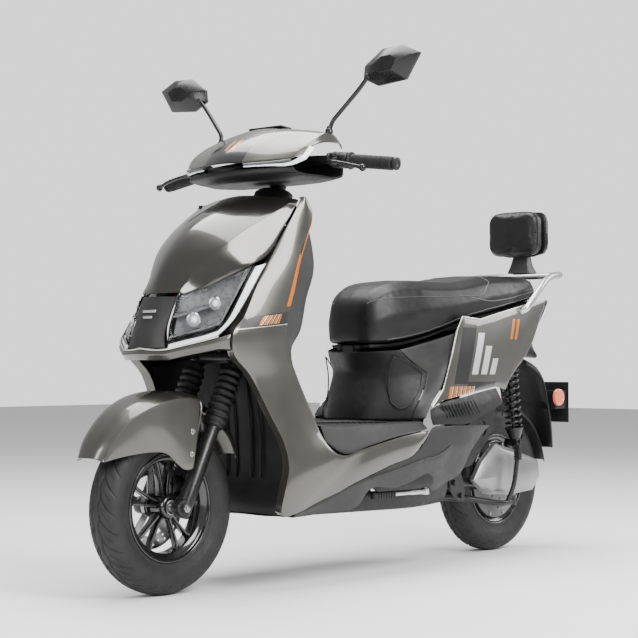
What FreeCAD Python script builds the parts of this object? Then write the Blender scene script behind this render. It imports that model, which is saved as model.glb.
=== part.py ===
"""Moped scooter with a hub motor, built as separate named pieces.

Frame of the model: millimetres, +Z up, ground at Z = 0, front of the scooter towards -Y,
rider's left towards +X. Stations are written about the middle of the wheelbase; finish()
moves everything by ORIGIN_SHIFT so that the origin lies under the middle of the whole part.
"""
import FreeCAD, Part
import math
import os
from FreeCAD import Vector

# ---- driving dimensions -------------------------------------------------------------------
WHEELBASE = 1300.0
FRONT_AXLE_Y = -690.0
REAR_AXLE_Y = FRONT_AXLE_Y + WHEELBASE
TYRE_R = 206.0              # 3.00-10 tyre
TYRE_HALF = 44.0
RIM_R = 138.6
RIM_HALF = 31.0
AXLE_R = 6.0
RAKE = math.radians(26.5)   # steering axis from vertical
STEER_FOOT = Vector(0, -680.0, TYRE_R)
LEG_X = 65.0                # fork legs
STANCHION_R = 14.0
SLIDER_R = 19.5
STEM_R = 13.0
SKIN = 3.0                  # plastic body panels
RUN_FIT = 0.06              # radial clearance of a turning fit
CLEAR = 0.6                 # gap between pieces that move past each other
ORIGIN_SHIFT = Vector(0, 10.0, 0)
BAR_R = 11.0
GRIP_R = 16.5
SWING_PIVOT = Vector(0, 300.0, 215.0)
STAND_PIVOT = Vector(0, 330.0, 178.0)
SHOCK_X = 117.0
SHOCK_TOP = Vector(0, 552.0, 545.0)
SHOCK_FOOT = Vector(0, 581.0, 318.0)
SEAT_HINGE = Vector(0, -14.0, 584.0)
PEG_PIVOT = Vector(196.0, 62.0, 205.0)
PLATE_Y = 893.0             # rear face of the plate
PLATE_SKIN = 3.0
PLATE_HOLE_R = 3.25
PLATE_SPACING = 150.0
PLATE_HOLE_Z = 478.0

FRONT_AXLE = Vector(0, FRONT_AXLE_Y, TYRE_R)
REAR_AXLE = Vector(0, REAR_AXLE_Y, TYRE_R)
X_AXIS = Vector(1, 0, 0)
Z_AXIS = Vector(0, 0, 1)
STEER_UP = Vector(0, math.sin(RAKE), math.cos(RAKE))
STEER_FWD = Vector(0, -math.cos(RAKE), math.sin(RAKE))


# ---- building blocks ----------------------------------------------------------------------
def solid_from_facets(points, facets):
    shape = Part.Shape()
    shape.makeShapeFromMesh((points, facets), 0.01)
    solid = Part.makeSolid(shape)
    if solid.Volume < 0:
        solid.reverse()
    return solid


def mirrored(shape):
    return shape.mirror(Vector(0, 0, 0), X_AXIS)


def both_sides(*shapes):
    return Part.makeCompound(list(shapes) + [mirrored(s) for s in shapes])


def across(half_row):
    """A row given from the centre line outwards, completed with its mirror image."""
    outward = [Vector(*p) for p in half_row]
    inner = [Vector(-p.x, p.y, p.z) for p in reversed(outward) if p.x > 0.01]
    return inner + outward


def grid_normals(grid):
    rows, cols = len(grid), len(grid[0])
    normals = []
    for i in range(rows):
        line = []
        for j in range(cols):
            along = grid[min(i + 1, rows - 1)][j] - grid[max(i - 1, 0)][j]
            side = grid[i][min(j + 1, cols - 1)] - grid[i][max(j - 1, 0)]
            n = along.cross(side)
            line.append(n.normalize() if n.Length > 1e-6 else Vector(0, 0, 1))
        normals.append(line)
    return normals


def panel(grid, inward, skin=SKIN):
    """A closed shell of even thickness under a grid of surface points.

    inward is a point on the hidden side: the thickness goes towards it.
    """
    rows, cols = len(grid), len(grid[0])
    normals = grid_normals(grid)
    middle = grid[rows // 2][cols // 2]
    sign = 1.0 if (inward - middle).dot(normals[rows // 2][cols // 2]) > 0 else -1.0
    points = [p for row in grid for p in row]
    points += [grid[i][j] + normals[i][j] * (sign * skin) for i in range(rows) for j in range(cols)]
    back = rows * cols

    def at(i, j):
        return i * cols + j

    facets = []
    for i in range(rows - 1):
        for j in range(cols - 1):
            a, b, c, d = at(i, j), at(i, j + 1), at(i + 1, j + 1), at(i + 1, j)
            facets += [(a, b, c), (a, c, d)]
            facets += [(back + a, back + c, back + b), (back + a, back + d, back + c)]
    rim = [at(0, j) for j in range(cols)] + [at(i, cols - 1) for i in range(1, rows)]
    rim += [at(rows - 1, j) for j in range(cols - 2, -1, -1)] + [at(i, 0) for i in range(rows - 2, 0, -1)]
    for a, b in zip(rim, rim[1:] + rim[:1]):
        facets += [(a, back + a, back + b), (a, back + b, b)]
    return solid_from_facets(points, facets)


def loft(rings):
    """A closed body through rings of equal point count, with flat fans over both ends."""
    count = len(rings[0])
    points = [Vector(*p) for ring in rings for p in ring]
    facets = []
    for k in range(len(rings) - 1):
        for j in range(count):
            a, b = k * count + j, k * count + (j + 1) % count
            facets += [(a, b, b + count), (a, b + count, a + count)]
    for base, flip in ((0, True), ((len(rings) - 1) * count, False)):
        centre = Vector(0, 0, 0)
        for j in range(count):
            centre += points[base + j] / count
        points.append(centre)
        hub = len(points) - 1
        for j in range(count):
            a, b = base + j, base + (j + 1) % count
            facets.append((hub, b, a) if flip else (hub, a, b))
    return solid_from_facets(points, facets)


def prism(outline, x0, x1):
    """A plate: an outline in (y, z) between two x stations."""
    return loft([[(x0, y, z) for y, z in outline], [(x1, y, z) for y, z in outline]])


def rod(start, end, radius):
    start, end = Vector(*start), Vector(*end)
    return Part.makeCylinder(radius, (end - start).Length, start, end - start)


def tube(path, radius):
    """A bent tube: straight runs joined by round corners."""
    corners = [Vector(*p) for p in path]
    shape = rod(corners[0], corners[1], radius)
    for a, b in zip(corners[1:], corners[2:]):
        shape = shape.fuse([Part.makeSphere(radius, a), rod(a, b, radius)])
    return shape


def pipe(path, radius, sides=20):
    """A bent tube with mitred corners."""
    corners = [Vector(*p) for p in path]
    runs = [(b - a).normalize() for a, b in zip(corners, corners[1:])]
    across_run = runs[0].cross(Vector(0.31, 0.17, 0.94)).normalize()
    ring_at = []
    for k in range(sides):
        angle = 2 * math.pi * (k + 0.5) / sides
        offset = across_run * math.cos(angle) + runs[0].cross(across_run) * math.sin(angle)
        ring_at.append(corners[0] + offset * radius)
    rings = [[tuple(p) for p in ring_at]]
    for index, run in enumerate(runs):
        last = index == len(runs) - 1
        plane = run if last else (run + runs[index + 1]).normalize()
        corner = corners[index + 1]
        ring_at = [p + run * ((corner - p).dot(plane) / run.dot(plane)) for p in ring_at]
        rings.append([tuple(p) for p in ring_at])
    return loft(rings)


def strut(start, end, radius):
    return pipe((start, end), radius)


def fused(shape, *others):
    for other in others:
        shape = shape.fuse(other)
    return shape


def ball_end(radius, centre):
    """A ball with its seam to the front, clear of the stem that joins it from the side."""
    ball = Part.makeSphere(radius, centre)
    ball.rotate(centre, Z_AXIS, -90)
    return ball


def ring(centre, axis, outer, inner, length):
    """A washer or bush centred on a point."""
    base = centre - axis * (length / 2)
    return Part.makeCylinder(outer, length, base, axis).cut(Part.makeCylinder(inner, length, base, axis))


def turned(centre, profile):
    """A body of revolution about the X axis through a centre; profile holds (x, radius) points."""
    points = [Vector(x, 0, r) for x, r in profile]
    face = Part.Face(Part.makePolygon(points + points[:1]))
    body = face.revolve(Vector(0, 0, 0), X_AXIS, 360)
    body.translate(centre)
    return body


def smooth_turned(centre, outline):
    """As turned, with the outline points joined by one smooth closed curve."""
    curve = Part.BSplineCurve()
    curve.interpolate([Vector(x, 0, r) for x, r in outline], PeriodicFlag=True)
    body = Part.Face(Part.Wire(curve.toShape())).revolve(Vector(0, 0, 0), X_AXIS, 360)
    body.translate(centre)
    return body


def on_steering(x, along, forward=0.0):
    """A point by its place on the steering axis: along it, ahead of it and to the left of it."""
    return STEER_FOOT + STEER_UP * along + STEER_FWD * forward + Vector(x, 0, 0)


def steering_station(z):
    return (z - STEER_FOOT.z) / STEER_UP.z


# ---- front bodywork -----------------------------------------------------------------------
# Each row of the hood: centre line, side crease, lower edge.
HOOD_ROWS = (
    ((0, -714, 706), (62, -697, 708), (67, -690, 704)),
    ((0, -700, 742), (68, -673, 737), (90, -634, 722)),
    ((0, -676, 784), (82, -647, 773), (119, -592, 747)),
    ((0, -640, 828), (105, -610, 809), (147, -550, 772)),
    ((0, -582, 880), (130, -545, 858), (160, -502, 798)),
    ((0, -508, 924), (150, -479, 897), (169, -457, 861)),
    ((0, -430, 957), (163, -402, 941), (172, -404, 938)),
)

# The side shield from the shoulder peak down the leg and back along the floor:
# forward or lower edge, then rear or upper edge.
SHIELD_ROWS = (
    ((176, -396, 946), (180, -386, 946)),
    ((177, -422, 905), (188, -367, 903)),
    ((173, -452, 861), (194, -392, 852)),
    ((167, -490, 800), (199, -423, 790)),
    ((173, -548, 725), (204, -450, 720)),
    ((181, -602, 648), (209, -475, 664)),
    ((186, -640, 612), (211, -485, 628)),
    ((184, -640, 572), (209, -478, 574)),
    ((187, -586, 515), (207, -446, 512)),
    ((203, -535, 422), (208, -393, 424)),
    ((216, -498, 350), (214, -359, 362)),
    ((221, -488, 296), (224, -346, 338)),
    ((220, -500, 245), (228, -331, 326)),
    ((212, -505, 190), (229, -300, 318)),
    ((208, -400, 197), (229, -230, 330)),
    ((221, -251, 248), (229, -150, 344)),
    ((225, -120, 285), (228, -60, 358)),
    ((225, -5, 318), (225, 0, 364)),
    ((222, 36, 358), (222, 42, 368)),
)

LENS_TOP = ((62, -700, 701), (90, -640, 717), (119, -597, 742), (148, -554, 766))
LENS_LOW = ((67, -736, 593), (100, -713, 603), (132, -688, 612), (153, -666, 623))


def hood():
    grid = []
    for centre, crease, edge in HOOD_ROWS:
        bulge = (crease[0] * 0.55, centre[1] * 0.62 + crease[1] * 0.38, centre[2] * 0.62 + crease[2] * 0.38)
        grid.append(across((centre, bulge, crease, edge)))
    return panel(grid, Vector(0, -400, 700))


def side_shield():
    grid = []
    for row, (front, rear) in enumerate(SHIELD_ROWS):
        front, rear = Vector(*front), Vector(*rear)
        crown = front * 0.45 + rear * 0.55 + Vector(5, 0, 0)
        tuck = min(26.0, 6.0 + 5.0 * row)
        wall = front + (rear - front).normalize() * 6 - Vector(tuck, 0, 0)
        back = rear - (rear - front).normalize() * 4 - Vector(14, 0, 0)
        grid.append([wall, front, crown, rear, back])
    return panel(grid, Vector(0, -480, 600))


def lens_grid(depth):
    """The lens surface, moved inwards by a depth."""
    grid = []
    steps = 4
    for k in range(steps + 1):
        t = k / steps
        line = []
        for top, low in zip(LENS_TOP, LENS_LOW):
            p = Vector(*top) * (1 - t) + Vector(*low) * t
            swell = 4.0 * math.sin(math.pi * t)
            line.append(p + Vector(-0.45, 0.85, 0.25) * depth - Vector(-0.5, 0.85, 0) * swell)
        grid.append(line)
    return grid


def headlight_lens():
    return both_sides(panel(lens_grid(0), Vector(60, -560, 660), 2.5))


def nose_plate():
    rows = (
        ((0, -713, 699), (57, -700, 698)),
        ((0, -733, 655), (56, -719, 655)),
        ((0, -750, 612), (55, -734, 612)),
        ((0, -758, 578), (64, -742, 578)),
    )
    return panel([across(((c), ((c[0] + e[0]) / 2, c[1] + 3, c[2]), (e))) for c, e in rows],
                 Vector(0, -600, 640))


def headlight_housing():
    """A dish behind each lens with two round projector modules, and the plate between them."""
    dish = panel(lens_grid(44), Vector(60, -500, 660))
    shapes = [dish]
    for mid, depth in ((Vector(104, -690, 634), 12), (Vector(136, -616, 697), 12)):
        aim = Vector(0.35, -0.93, 0)
        base = mid + Vector(-0.45, 0.85, 0.25) * depth
        module = Part.makeCylinder(17, 20, base, aim * -1)
        shapes.append(module.cut(Part.makeSphere(19, base + aim * 10)))
    return Part.makeCompound([nose_plate()] + shapes + [mirrored(s) for s in shapes])


LIGHT_BAR_PATH = (
    ((72, -742, 574), (71, -738, 586)),
    ((104, -720, 584), (103, -716, 596)),
    ((138, -694, 594), (136, -690, 606)),
    ((163, -668, 606), (158, -662, 618)),
    ((175, -636, 636), (163, -641, 638)),
    ((178, -590, 690), (163, -598, 694)),
    ((174, -548, 740), (156, -556, 745)),
    ((169, -512, 780), (152, -532, 772)),
)


def light_bars():
    grid = [[Vector(*outer), Vector(*inner)] for outer, inner in LIGHT_BAR_PATH]
    return both_sides(panel(grid, Vector(60, -560, 660), 5.0))


def front_lip():
    rows = (
        ((0, -759, 574), (70, -745, 571), (104, -723, 580), (138, -697, 590), (166, -668, 601),
         (182, -644, 610)),
        ((0, -765, 564), (73, -750, 562), (106, -727, 571), (141, -700, 581), (170, -670, 592),
         (183, -650, 600)),
        ((0, -752, 550), (72, -741, 549), (106, -717, 559), (140, -690, 568), (167, -666, 575),
         (181, -646, 574)),
        ((0, -735, 552), (68, -724, 552), (100, -701, 560), (132, -676, 567), (156, -655, 573),
         (172, -636, 570)),
    )
    return panel([across(r) for r in rows], Vector(0, -700, 600))


def wheel_well_liner():
    """Roof under the lamps, cut open for the fork, and the wall between wheel and footwell."""
    roof = panel([across(r) for r in (
        ((0, -732, 557), (64, -721, 557), (128, -672, 571), (168, -630, 574)),
        ((0, -680, 572), (64, -676, 572), (128, -640, 580), (166, -600, 584)),
        ((0, -610, 590), (64, -608, 590), (128, -590, 592), (160, -570, 592)),
    )], Vector(0, -660, 640))
    wall = panel([across(r) for r in (
        ((0, -437, 556), (80, -437, 556), (150, -470, 550), (166, -568, 530)),
        ((0, -428, 480), (80, -428, 480), (150, -452, 476), (178, -542, 474)),
        ((0, -418, 420), (80, -418, 420), (155, -440, 420), (184, -512, 420)),
        ((0, -412, 350), (80, -412, 350), (165, -430, 350), (192, -482, 350)),
        ((0, -414, 260), (80, -414, 260), (168, -430, 260), (194, -474, 260)),
        ((0, -436, 196), (80, -436, 196), (165, -450, 196), (190, -486, 196)),
        ((0, -430, 176), (80, -430, 176), (160, -440, 176), (180, -470, 180)),
    )], Vector(0, -300, 400))
    return Part.makeCompound([roof, wall])


def inner_shield():
    rows = (
        ((0, -292, 890), (85, -300, 890), (146, -345, 894), (168, -385, 897)),
        ((0, -288, 850), (88, -296, 848), (148, -330, 845), (176, -402, 845)),
        ((0, -296, 777), (90, -300, 777), (150, -321, 777), (184, -430, 777)),
        ((0, -335, 700), (95, -340, 700), (160, -360, 700), (189, -462, 700)),
        ((0, -372, 623), (100, -378, 623), (172, -394, 623), (194, -488, 623)),
        ((0, -378, 571), (110, -392, 571), (192, -450, 571), (193, -488, 569)),
        ((0, -370, 490), (120, -384, 490), (194, -424, 490), (192, -450, 490)),
        ((0, -360, 425), (120, -366, 425), (195, -384, 425), (192, -402, 425)),
        ((0, -345, 399), (120, -349, 399), (197, -355, 399), (194, -372, 398)),
    )
    face = panel([across(r) for r in rows], Vector(0, -480, 640))
    deck = panel([across(r) for r in (
        ((0, -422, 944), (85, -414, 940), (158, -400, 928)),
        ((0, -360, 918), (85, -362, 917), (162, -382, 912)),
        ((0, -296, 894), (85, -304, 894), (146, -350, 898)),
    )], Vector(0, -420, 800))
    hole = Part.makeCylinder(26, 160, on_steering(0, steering_station(835)), STEER_UP)
    return Part.makeCompound([face, deck.cut(hole)])


FLOOR_ROWS = (
    ((0, -341, 396), (150, -345, 396), (196, -349, 391), (211, -345, 352)),
    ((0, -290, 393), (150, -290, 393), (199, -295, 387), (224, -292, 322)),
    ((0, -200, 391), (150, -200, 391), (200, -200, 389), (225, -200, 337)),
    ((0, -80, 390), (150, -80, 390), (200, -80, 390), (225, -82, 358)),
    ((0, -10, 390), (150, -10, 390), (200, 0, 391), (223, 0, 367)),
    ((0, 60, 390), (150, 60, 390), (190, 55, 391), (212, 52, 374)),
)


def floorboard():
    """The footboard with raised wavy tread ribs on both sides of the tunnel."""
    board = panel([across(r) for r in FLOOR_ROWS], Vector(0, -150, 200), 4.0)
    ribs = []
    for k in range(9):
        y = -318 + 30 * k
        height = 396.5 - 0.02 * (y + 341)
        for side in (-1, 1):
            ribs.append(Part.makeBox(120, 7, 4, Vector(side * 112 - 60, y, height - 4)))
    return fused(board, *ribs)


def lower_covers():
    rows = (
        ((206, -452, 184), (205, -448, 180), (192, -444, 174)),
        ((213, -340, 219), (215, -338, 212), (203, -335, 180)),
        ((220, -248, 246), (223, -238, 244), (211, -228, 190)),
        ((223, -190, 264), (224, -190, 256), (215, -190, 226)),
        ((224, -100, 288), (224, -95, 271), (214, -92, 227)),
        ((224, -5, 315), (224, 15, 292), (208, 20, 226)),
        ((221, 42, 352), (222, 62, 297), (204, 62, 226)),
        ((216, 70, 374), (219, 100, 304), (199, 84, 210)),
        ((210, 140, 377), (212, 150, 322), (194, 150, 226)),
        ((203, 228, 376), (200, 226, 316), (190, 221, 248)),
        ((196, 300, 375), (190, 292, 344), (181, 282, 304)),
        ((189, 356, 372), (186, 350, 366), (180, 342, 356)),
    )
    grid = [[Vector(*t), Vector(*m), Vector(*b), Vector(b[0] - 30, b[1], b[2] + 2)] for t, m, b in rows]
    peg_hole = Part.makeCylinder(9.5, 80, Vector(150, 62, 232), X_AXIS)
    side = panel(grid, Vector(0, 0, 300)).cut(peg_hole)
    belly = panel([across(r) for r in (
        ((0, -428, 172), (120, -428, 172), (160, -424, 176), (176, -420, 205)),
        ((0, -300, 168), (120, -300, 168), (150, -300, 172), (166, -300, 214)),
        ((0, -100, 164), (120, -100, 164), (150, -100, 168), (166, -100, 218)),
        ((0, 90, 160), (110, 90, 160), (140, 90, 164), (162, 90, 218)),
        ((0, 236, 162), (90, 236, 162), (112, 236, 166), (150, 220, 236)),
    )], Vector(0, 0, 400))
    return Part.makeCompound([side, mirrored(side), belly])


# ---- seat base and tail -------------------------------------------------------------------
PEDESTAL_ROWS = (
    ((0, -26, 572), (60, -8, 572), (98, 14, 574), (125, 44, 577)),
    ((0, -12, 540), (60, 8, 540), (106, 38, 538), (146, 80, 540)),
    ((0, -6, 519), (60, 14, 519), (110, 48, 518), (160, 117, 517)),
    ((0, -18, 480), (60, 0, 480), (110, 36, 478), (163, 98, 474)),
    ((0, -36, 430), (60, -20, 430), (108, 20, 428), (160, 66, 424)),
    ((0, -44, 395), (60, -29, 395), (105, 12, 395), (153, 58, 395)),
)

MID_ROWS = (
    ((126, 44, 578), (150, 140, 600), (163, 236, 624)),
    ((148, 82, 541), (160, 158, 560), (170, 214, 576)),
    ((161, 117, 518), (170, 158, 520), (178, 180, 528)),
    ((165, 98, 474), (176, 130, 476), (184, 148, 480)),
    ((162, 66, 425), (178, 84, 430), (188, 102, 440)),
    ((156, 56, 399), (176, 60, 399), (194, 66, 399)),
)

# The tail cover, from its top edge down to its lower edge, front to back.
TAIL_ROWS = (
    ((165, 238, 630), (178, 196, 560), (187, 146, 470), (195, 88, 424)),
    ((164, 268, 668), (176, 238, 590), (186, 196, 500), (194, 142, 444)),
    ((164, 348, 662), (174, 318, 590), (182, 270, 510), (189, 230, 456)),
    ((156, 450, 682), (168, 420, 600), (174, 380, 530), (177, 330, 468)),
    ((146, 550, 700), (158, 508, 620), (164, 460, 540), (166, 420, 478)),
    ((134, 650, 718), (146, 600, 650), (152, 548, 570), (157, 478, 468)),
    ((122, 740, 730), (130, 690, 670), (140, 628, 592), (151, 508, 504)),
)


def seat_pedestal():
    return panel([across(r) for r in PEDESTAL_ROWS], Vector(0, 300, 500))


def side_covers():
    return both_sides(panel([[Vector(*p) for p in row] for row in MID_ROWS], Vector(0, 250, 500)))


def tail_covers():
    grid = []
    for row in TAIL_ROWS:
        points = [Vector(*p) for p in row]
        ledge = points[0] + Vector(-10, 0, -14)
        grid.append([ledge] + points)
    notch = rod((118, 574, 684), (168, 586, 700), 14)
    return both_sides(panel(grid, Vector(0, 450, 560)).cut(notch))


def under_tail_trims():
    """Dark vented trims under the tail covers and the grey wedge closing the tail behind them."""
    trim = panel([[Vector(*p) for p in row] for row in (
        ((196, 86, 421), (204, 78, 402), (207, 84, 381)),
        ((193, 150, 440), (204, 150, 412), (206, 150, 381)),
        ((187, 232, 450), (196, 236, 418), (200, 232, 379)),
        ((176, 330, 464), (187, 338, 436), (192, 334, 404)),
        ((163, 424, 474), (168, 436, 452), (170, 446, 430)),
    )], Vector(0, 250, 420))
    ribs = [Part.makeBox(3, 120, 4, Vector(196, 190 + 9 * k, 396 + 12 * k)) for k in range(3)]
    wedge = panel([across(r) for r in (
        ((0, 470, 500), (50, 470, 500), (78, 480, 506)),
        ((0, 590, 556), (50, 590, 556), (80, 600, 562)),
        ((0, 700, 586), (50, 700, 586), (98, 690, 598)),
        ((0, 800, 560), (40, 800, 558), (62, 748, 590)),
    )], Vector(0, 600, 680))
    return Part.makeCompound([trim, mirrored(trim), wedge] + ribs + [mirrored(r) for r in ribs])


def tail_light():
    """Wrap-round lamp on the rear edge of the tail, and the round side reflectors."""
    lamp = panel([across(r) for r in (
        ((0, 775, 722), (80, 770, 722), (118, 748, 722)),
        ((0, 770, 690), (80, 764, 690), (121, 722, 690)),
        ((0, 755, 640), (70, 742, 640), (120, 672, 640)),
        ((0, 735, 600), (60, 716, 600), (112, 640, 592)),
    )], Vector(0, 600, 660), 4.0)
    reflector = Part.makeCylinder(24, 8, Vector(92.5, 838, 441), X_AXIS)
    return Part.makeCompound([lamp, reflector, mirrored(reflector)])


def rear_mudguard():
    """Mudguard behind the wheel, with side tabs and the blank plate it carries."""
    guard = panel([across(r) for r in (
        ((0, 700, 560), (62, 700, 556), (84, 690, 540)),
        ((0, 790, 520), (64, 786, 516), (84, 770, 496)),
        ((0, 826, 440), (66, 822, 438), (84, 800, 420)),
        ((0, 846, 360), (66, 842, 358), (82, 816, 346)),
        ((0, 856, 290), (64, 852, 290), (78, 828, 290)),
    )], Vector(0, 610, 206), 4.0)
    plate = Part.makeBox(190, PLATE_SKIN, 121, Vector(-95, PLATE_Y - PLATE_SKIN, 365))
    holes = [Part.makeCylinder(PLATE_HOLE_R, 10, Vector(s * PLATE_SPACING / 2, PLATE_Y - 6,
                                                        PLATE_HOLE_Z), Vector(0, 1, 0))
             for s in (-1, 1)]
    plate = plate.cut(holes)
    carrier = Part.makeBox(184, 64, 58, Vector(-92, 826, 404))
    carrier = carrier.cut(Part.makeBox(172, 64, 70, Vector(-86, 820, 398)))
    return Part.makeCompound([guard, plate, carrier])


def grab_rail():
    path = ((127, 576, 686), (155, 582, 696), (160, 640, 752), (150, 700, 792), (136, 770, 802),
            (96, 850, 806), (0, 872, 806))
    half = tube(path, 11)
    foot = Part.makeBox(24, 50, 7, Vector(118, 556, 683.5))
    lug = Part.makeBox(70, 40, 10, Vector(-35, 790, 801))
    tie = tube(((-146, 722, 797), (146, 722, 797)), 9)
    return fused(half, mirrored(half), foot, mirrored(foot), lug, tie,
                 Part.makeBox(40, 80, 8, Vector(-20, 715, 796)))


def backrest_bracket():
    """Upright post with a flared foot, and the gloss shell behind the pad."""
    post = loft([[(-38, 762, 811.2), (38, 762, 811.2), (38, 812, 811.2), (-38, 812, 811.2)],
                 [(-30, 768, 836), (30, 768, 836), (26, 806, 836), (-26, 806, 836)],
                 [(-22, 776, 870), (22, 776, 870), (22, 800, 870), (-22, 800, 870)],
                 [(-20, 782, 920), (20, 782, 920), (20, 800, 920), (-20, 800, 920)]])
    shell = loft([[(x * s, y, 927 + (z - 927) * s) for x, z in
                   ((-84, 868), (-42, 858), (42, 858), (84, 868), (93, 898), (92, 968),
                    (80, 992), (0, 997), (-80, 992), (-92, 968), (-93, 898))]
                  for y, s in ((776, 1.0), (790, 0.98), (802, 0.9))])
    return fused(post, shell)


def rounded_slab(x_half, y0, y1, z0, z1, corner, inset):
    """A cushion block: a rounded rectangle in (x, z) lofted along y with smaller ends."""
    rings = []
    for y, s in ((y0, inset), (y0 + 0.25 * (y1 - y0), 1.0), (y0 + 0.75 * (y1 - y0), 1.0),
                 (y1, inset + 0.03)):
        mid = (z0 + z1) / 2
        loop = []
        for cx, cz, first in ((1, 1, 0), (-1, 1, 90), (-1, -1, 180), (1, -1, 270)):
            for step in (0, 30, 60, 90):
                angle = math.radians(first + step)
                x = cx * (x_half - corner) + corner * math.cos(angle)
                z = mid + cz * ((z1 - z0) / 2 - corner) + corner * math.sin(angle)
                loop.append((x * s, y, mid + (z - mid) * s))
        rings.append(loop)
    return loft(rings)


def backrest_pad():
    return rounded_slab(90, 726, 775, 862, 994, 30, 0.9)


# ---- frame and inner parts ----------------------------------------------------------------
def frame_tubes():
    head_low, head_top = steering_station(602), steering_station(872)
    head = Part.makeCylinder(23, head_top - head_low, on_steering(0, head_low), STEER_UP)
    spine = pipe(((0, -426, 706), (0, -404, 600), (0, -384, 420), (0, -374, 232)), 16)
    cross = strut((-124, -374, 232), (124, -374, 232), 15)
    rail = pipe(((110, -374, 232), (110, 236, 232), (96, 330, 470), (84, 520, 626), (78, 705, 662)), 14)
    bridge = strut((-94, 334, 478), (94, 334, 478), 11)
    tail_bridge = strut((-78, 695, 660), (78, 695, 660), 11)
    mast = [strut((s * 79, 640, 648), (s * 124, 594, 682), 7) for s in (-1, 1)]
    hanger = strut((-140, 553, 572), (140, 553, 572), 9.5)
    arms = [strut((s * 83, 553, 574), (s * 83, 541, 628), 8) for s in (-1, 1)]
    ears = [Part.makeBox(8, 26, 44, Vector(x, 539, 532))
            for x in (SHOCK_X - 26, SHOCK_X + 18, -SHOCK_X - 26, -SHOCK_X + 18)]
    plate = ((222, 246), (300, 250), (360, 262), (440, 330), (478, 420), (456, 440), (380, 404), (300, 330))
    sides = []
    for x in (120, -126):
        cheek = prism(plate, x, x + 6)
        slot = Part.makeCylinder(22, 12, Vector(x - 3, 408, 360), X_AXIS)
        sides.append(cheek.cut(slot))
    pivot_cheeks = [prism(((270, 246), (330, 246), (352, 190), (342, 164), (318, 164), (284, 196)), x,
                          x + 6)
                    for x in (104, -110)]
    post = [strut((s * 110, 258, 240), (s * 126, 300, 262), 9) for s in (-1, 1)]
    seat_post = strut((-94, 34, 560), (94, 34, 560), 10)
    stays = [strut((s * 88, 34, 558), (s * 108, 200, 240), 8) for s in (-1, 1)]
    peg_arm = [strut((s * 112, 62, 232), (s * 206, 62, 232), 8) for s in (-1, 1)]
    body = fused(head, spine, cross, rail, mirrored(rail), bridge, tail_bridge, hanger, seat_post,
                 *mast, *arms, *ears, *sides, *pivot_cheeks, *post, *stays, *peg_arm)
    bore = Part.makeCylinder(19.5, head_top - head_low, on_steering(0, head_low), STEER_UP)
    pins = [Part.makeCylinder(8, 260, Vector(-130, SWING_PIVOT.y, SWING_PIVOT.z), X_AXIS),
            Part.makeCylinder(7, 260, Vector(-130, STAND_PIVOT.y, STAND_PIVOT.z), X_AXIS)]
    for side in (-1, 1):
        pins.append(Part.makeCylinder(5, 60, Vector(side * SHOCK_X - 30, SHOCK_TOP.y, SHOCK_TOP.z), X_AXIS))
        pins.append(Part.makeCylinder(4 + RUN_FIT, 40, Vector(side * PEG_PIVOT.x, PEG_PIVOT.y, 215),
                                      Z_AXIS))
    return body.cut([bore] + pins)


def bearings_and_pins():
    """Steering bearings, and the bolts that the swingarm, shocks, stand and pegs turn on."""
    parts = [ring(on_steering(0, steering_station(z)), STEER_UP, 19.5, STEM_R + RUN_FIT, 14)
             for z in (612, 862)]
    parts.append(rod((-118, SWING_PIVOT.y, SWING_PIVOT.z), (118, SWING_PIVOT.y, SWING_PIVOT.z), 8))
    parts.append(rod((-118, STAND_PIVOT.y, STAND_PIVOT.z), (118, STAND_PIVOT.y, STAND_PIVOT.z), 7))
    hinge_pin = rod((-38, SEAT_HINGE.y, SEAT_HINGE.z), (38, SEAT_HINGE.y, SEAT_HINGE.z), 3)
    hinge_block = Part.makeBox(36, 9, 15, Vector(-18, SEAT_HINGE.y - 6, 573))
    hinge_arm = Part.makeBox(36, 60, 6, Vector(-18, SEAT_HINGE.y - 6, 569.2))
    parts.append(fused(hinge_pin, hinge_block, hinge_arm))
    for side in (-1, 1):
        x = side * SHOCK_X
        parts.append(rod((x - 28, SHOCK_TOP.y, SHOCK_TOP.z), (x + 28, SHOCK_TOP.y, SHOCK_TOP.z), 5))
    return Part.makeCompound(parts)


def battery_pack():
    case = Part.makeBox(150, 130, 250, Vector(-75, 60, 248))
    lid = Part.makeBox(142, 122, 8, Vector(-71, 64, 498))
    handle = tube(((-40, 125, 505), (-40, 125, 528), (40, 125, 528), (40, 125, 505)), 5)
    return fused(case, lid, handle)


def controller():
    box = Part.makeBox(120, 90, 44, Vector(-60, -250, 250))
    fins = [Part.makeBox(4, 86, 10, Vector(-56 + 18 * k, -248, 293)) for k in range(7)]
    return fused(box, *fins)


def storage_bucket():
    outer = loft([[(-70, 226, 500), (70, 226, 500), (70, 372, 500), (-70, 372, 500)],
                  [(-78, 150, 594), (78, 150, 594), (74, 420, 634), (-74, 420, 634)]])
    inner = loft([[(-66, 230, 504), (66, 230, 504), (66, 368, 504), (-66, 368, 504)],
                  [(-74, 154, 596), (74, 154, 596), (70, 416, 636), (-70, 416, 636)]])
    return outer.cut(inner)


# ---- seat ---------------------------------------------------------------------------------
# Half sections of the seat from nose to tail: station, half width, lower z, side crest z, top z.
SEAT_SECTIONS = (
    (-26, 44, 598, 650, 672),
    (-12, 78, 592, 690, 708),
    (30, 104, 593, 724, 744),
    (110, 132, 606, 738, 765),
    (230, 148, 636, 744, 768),
    (330, 152, 664, 752, 772),
    (420, 150, 680, 766, 786),
    (560, 140, 705, 778, 796),
    (690, 118, 727, 784, 797),
)


def seat_half(station, width, low, crest, top):
    middle = low + 0.55 * (crest - low)
    return [(0, station, top), (width * 0.6, station, top - 3), (width * 0.88, station, crest),
            (width, station, middle), (width * 0.97, station, low + 6), (width * 0.86, station, low),
            (0, station, low)]


def seat_ring(section):
    half = seat_half(*section)
    return half + [(-x, y, z) for x, y, z in reversed(half[1:-1])]


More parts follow.
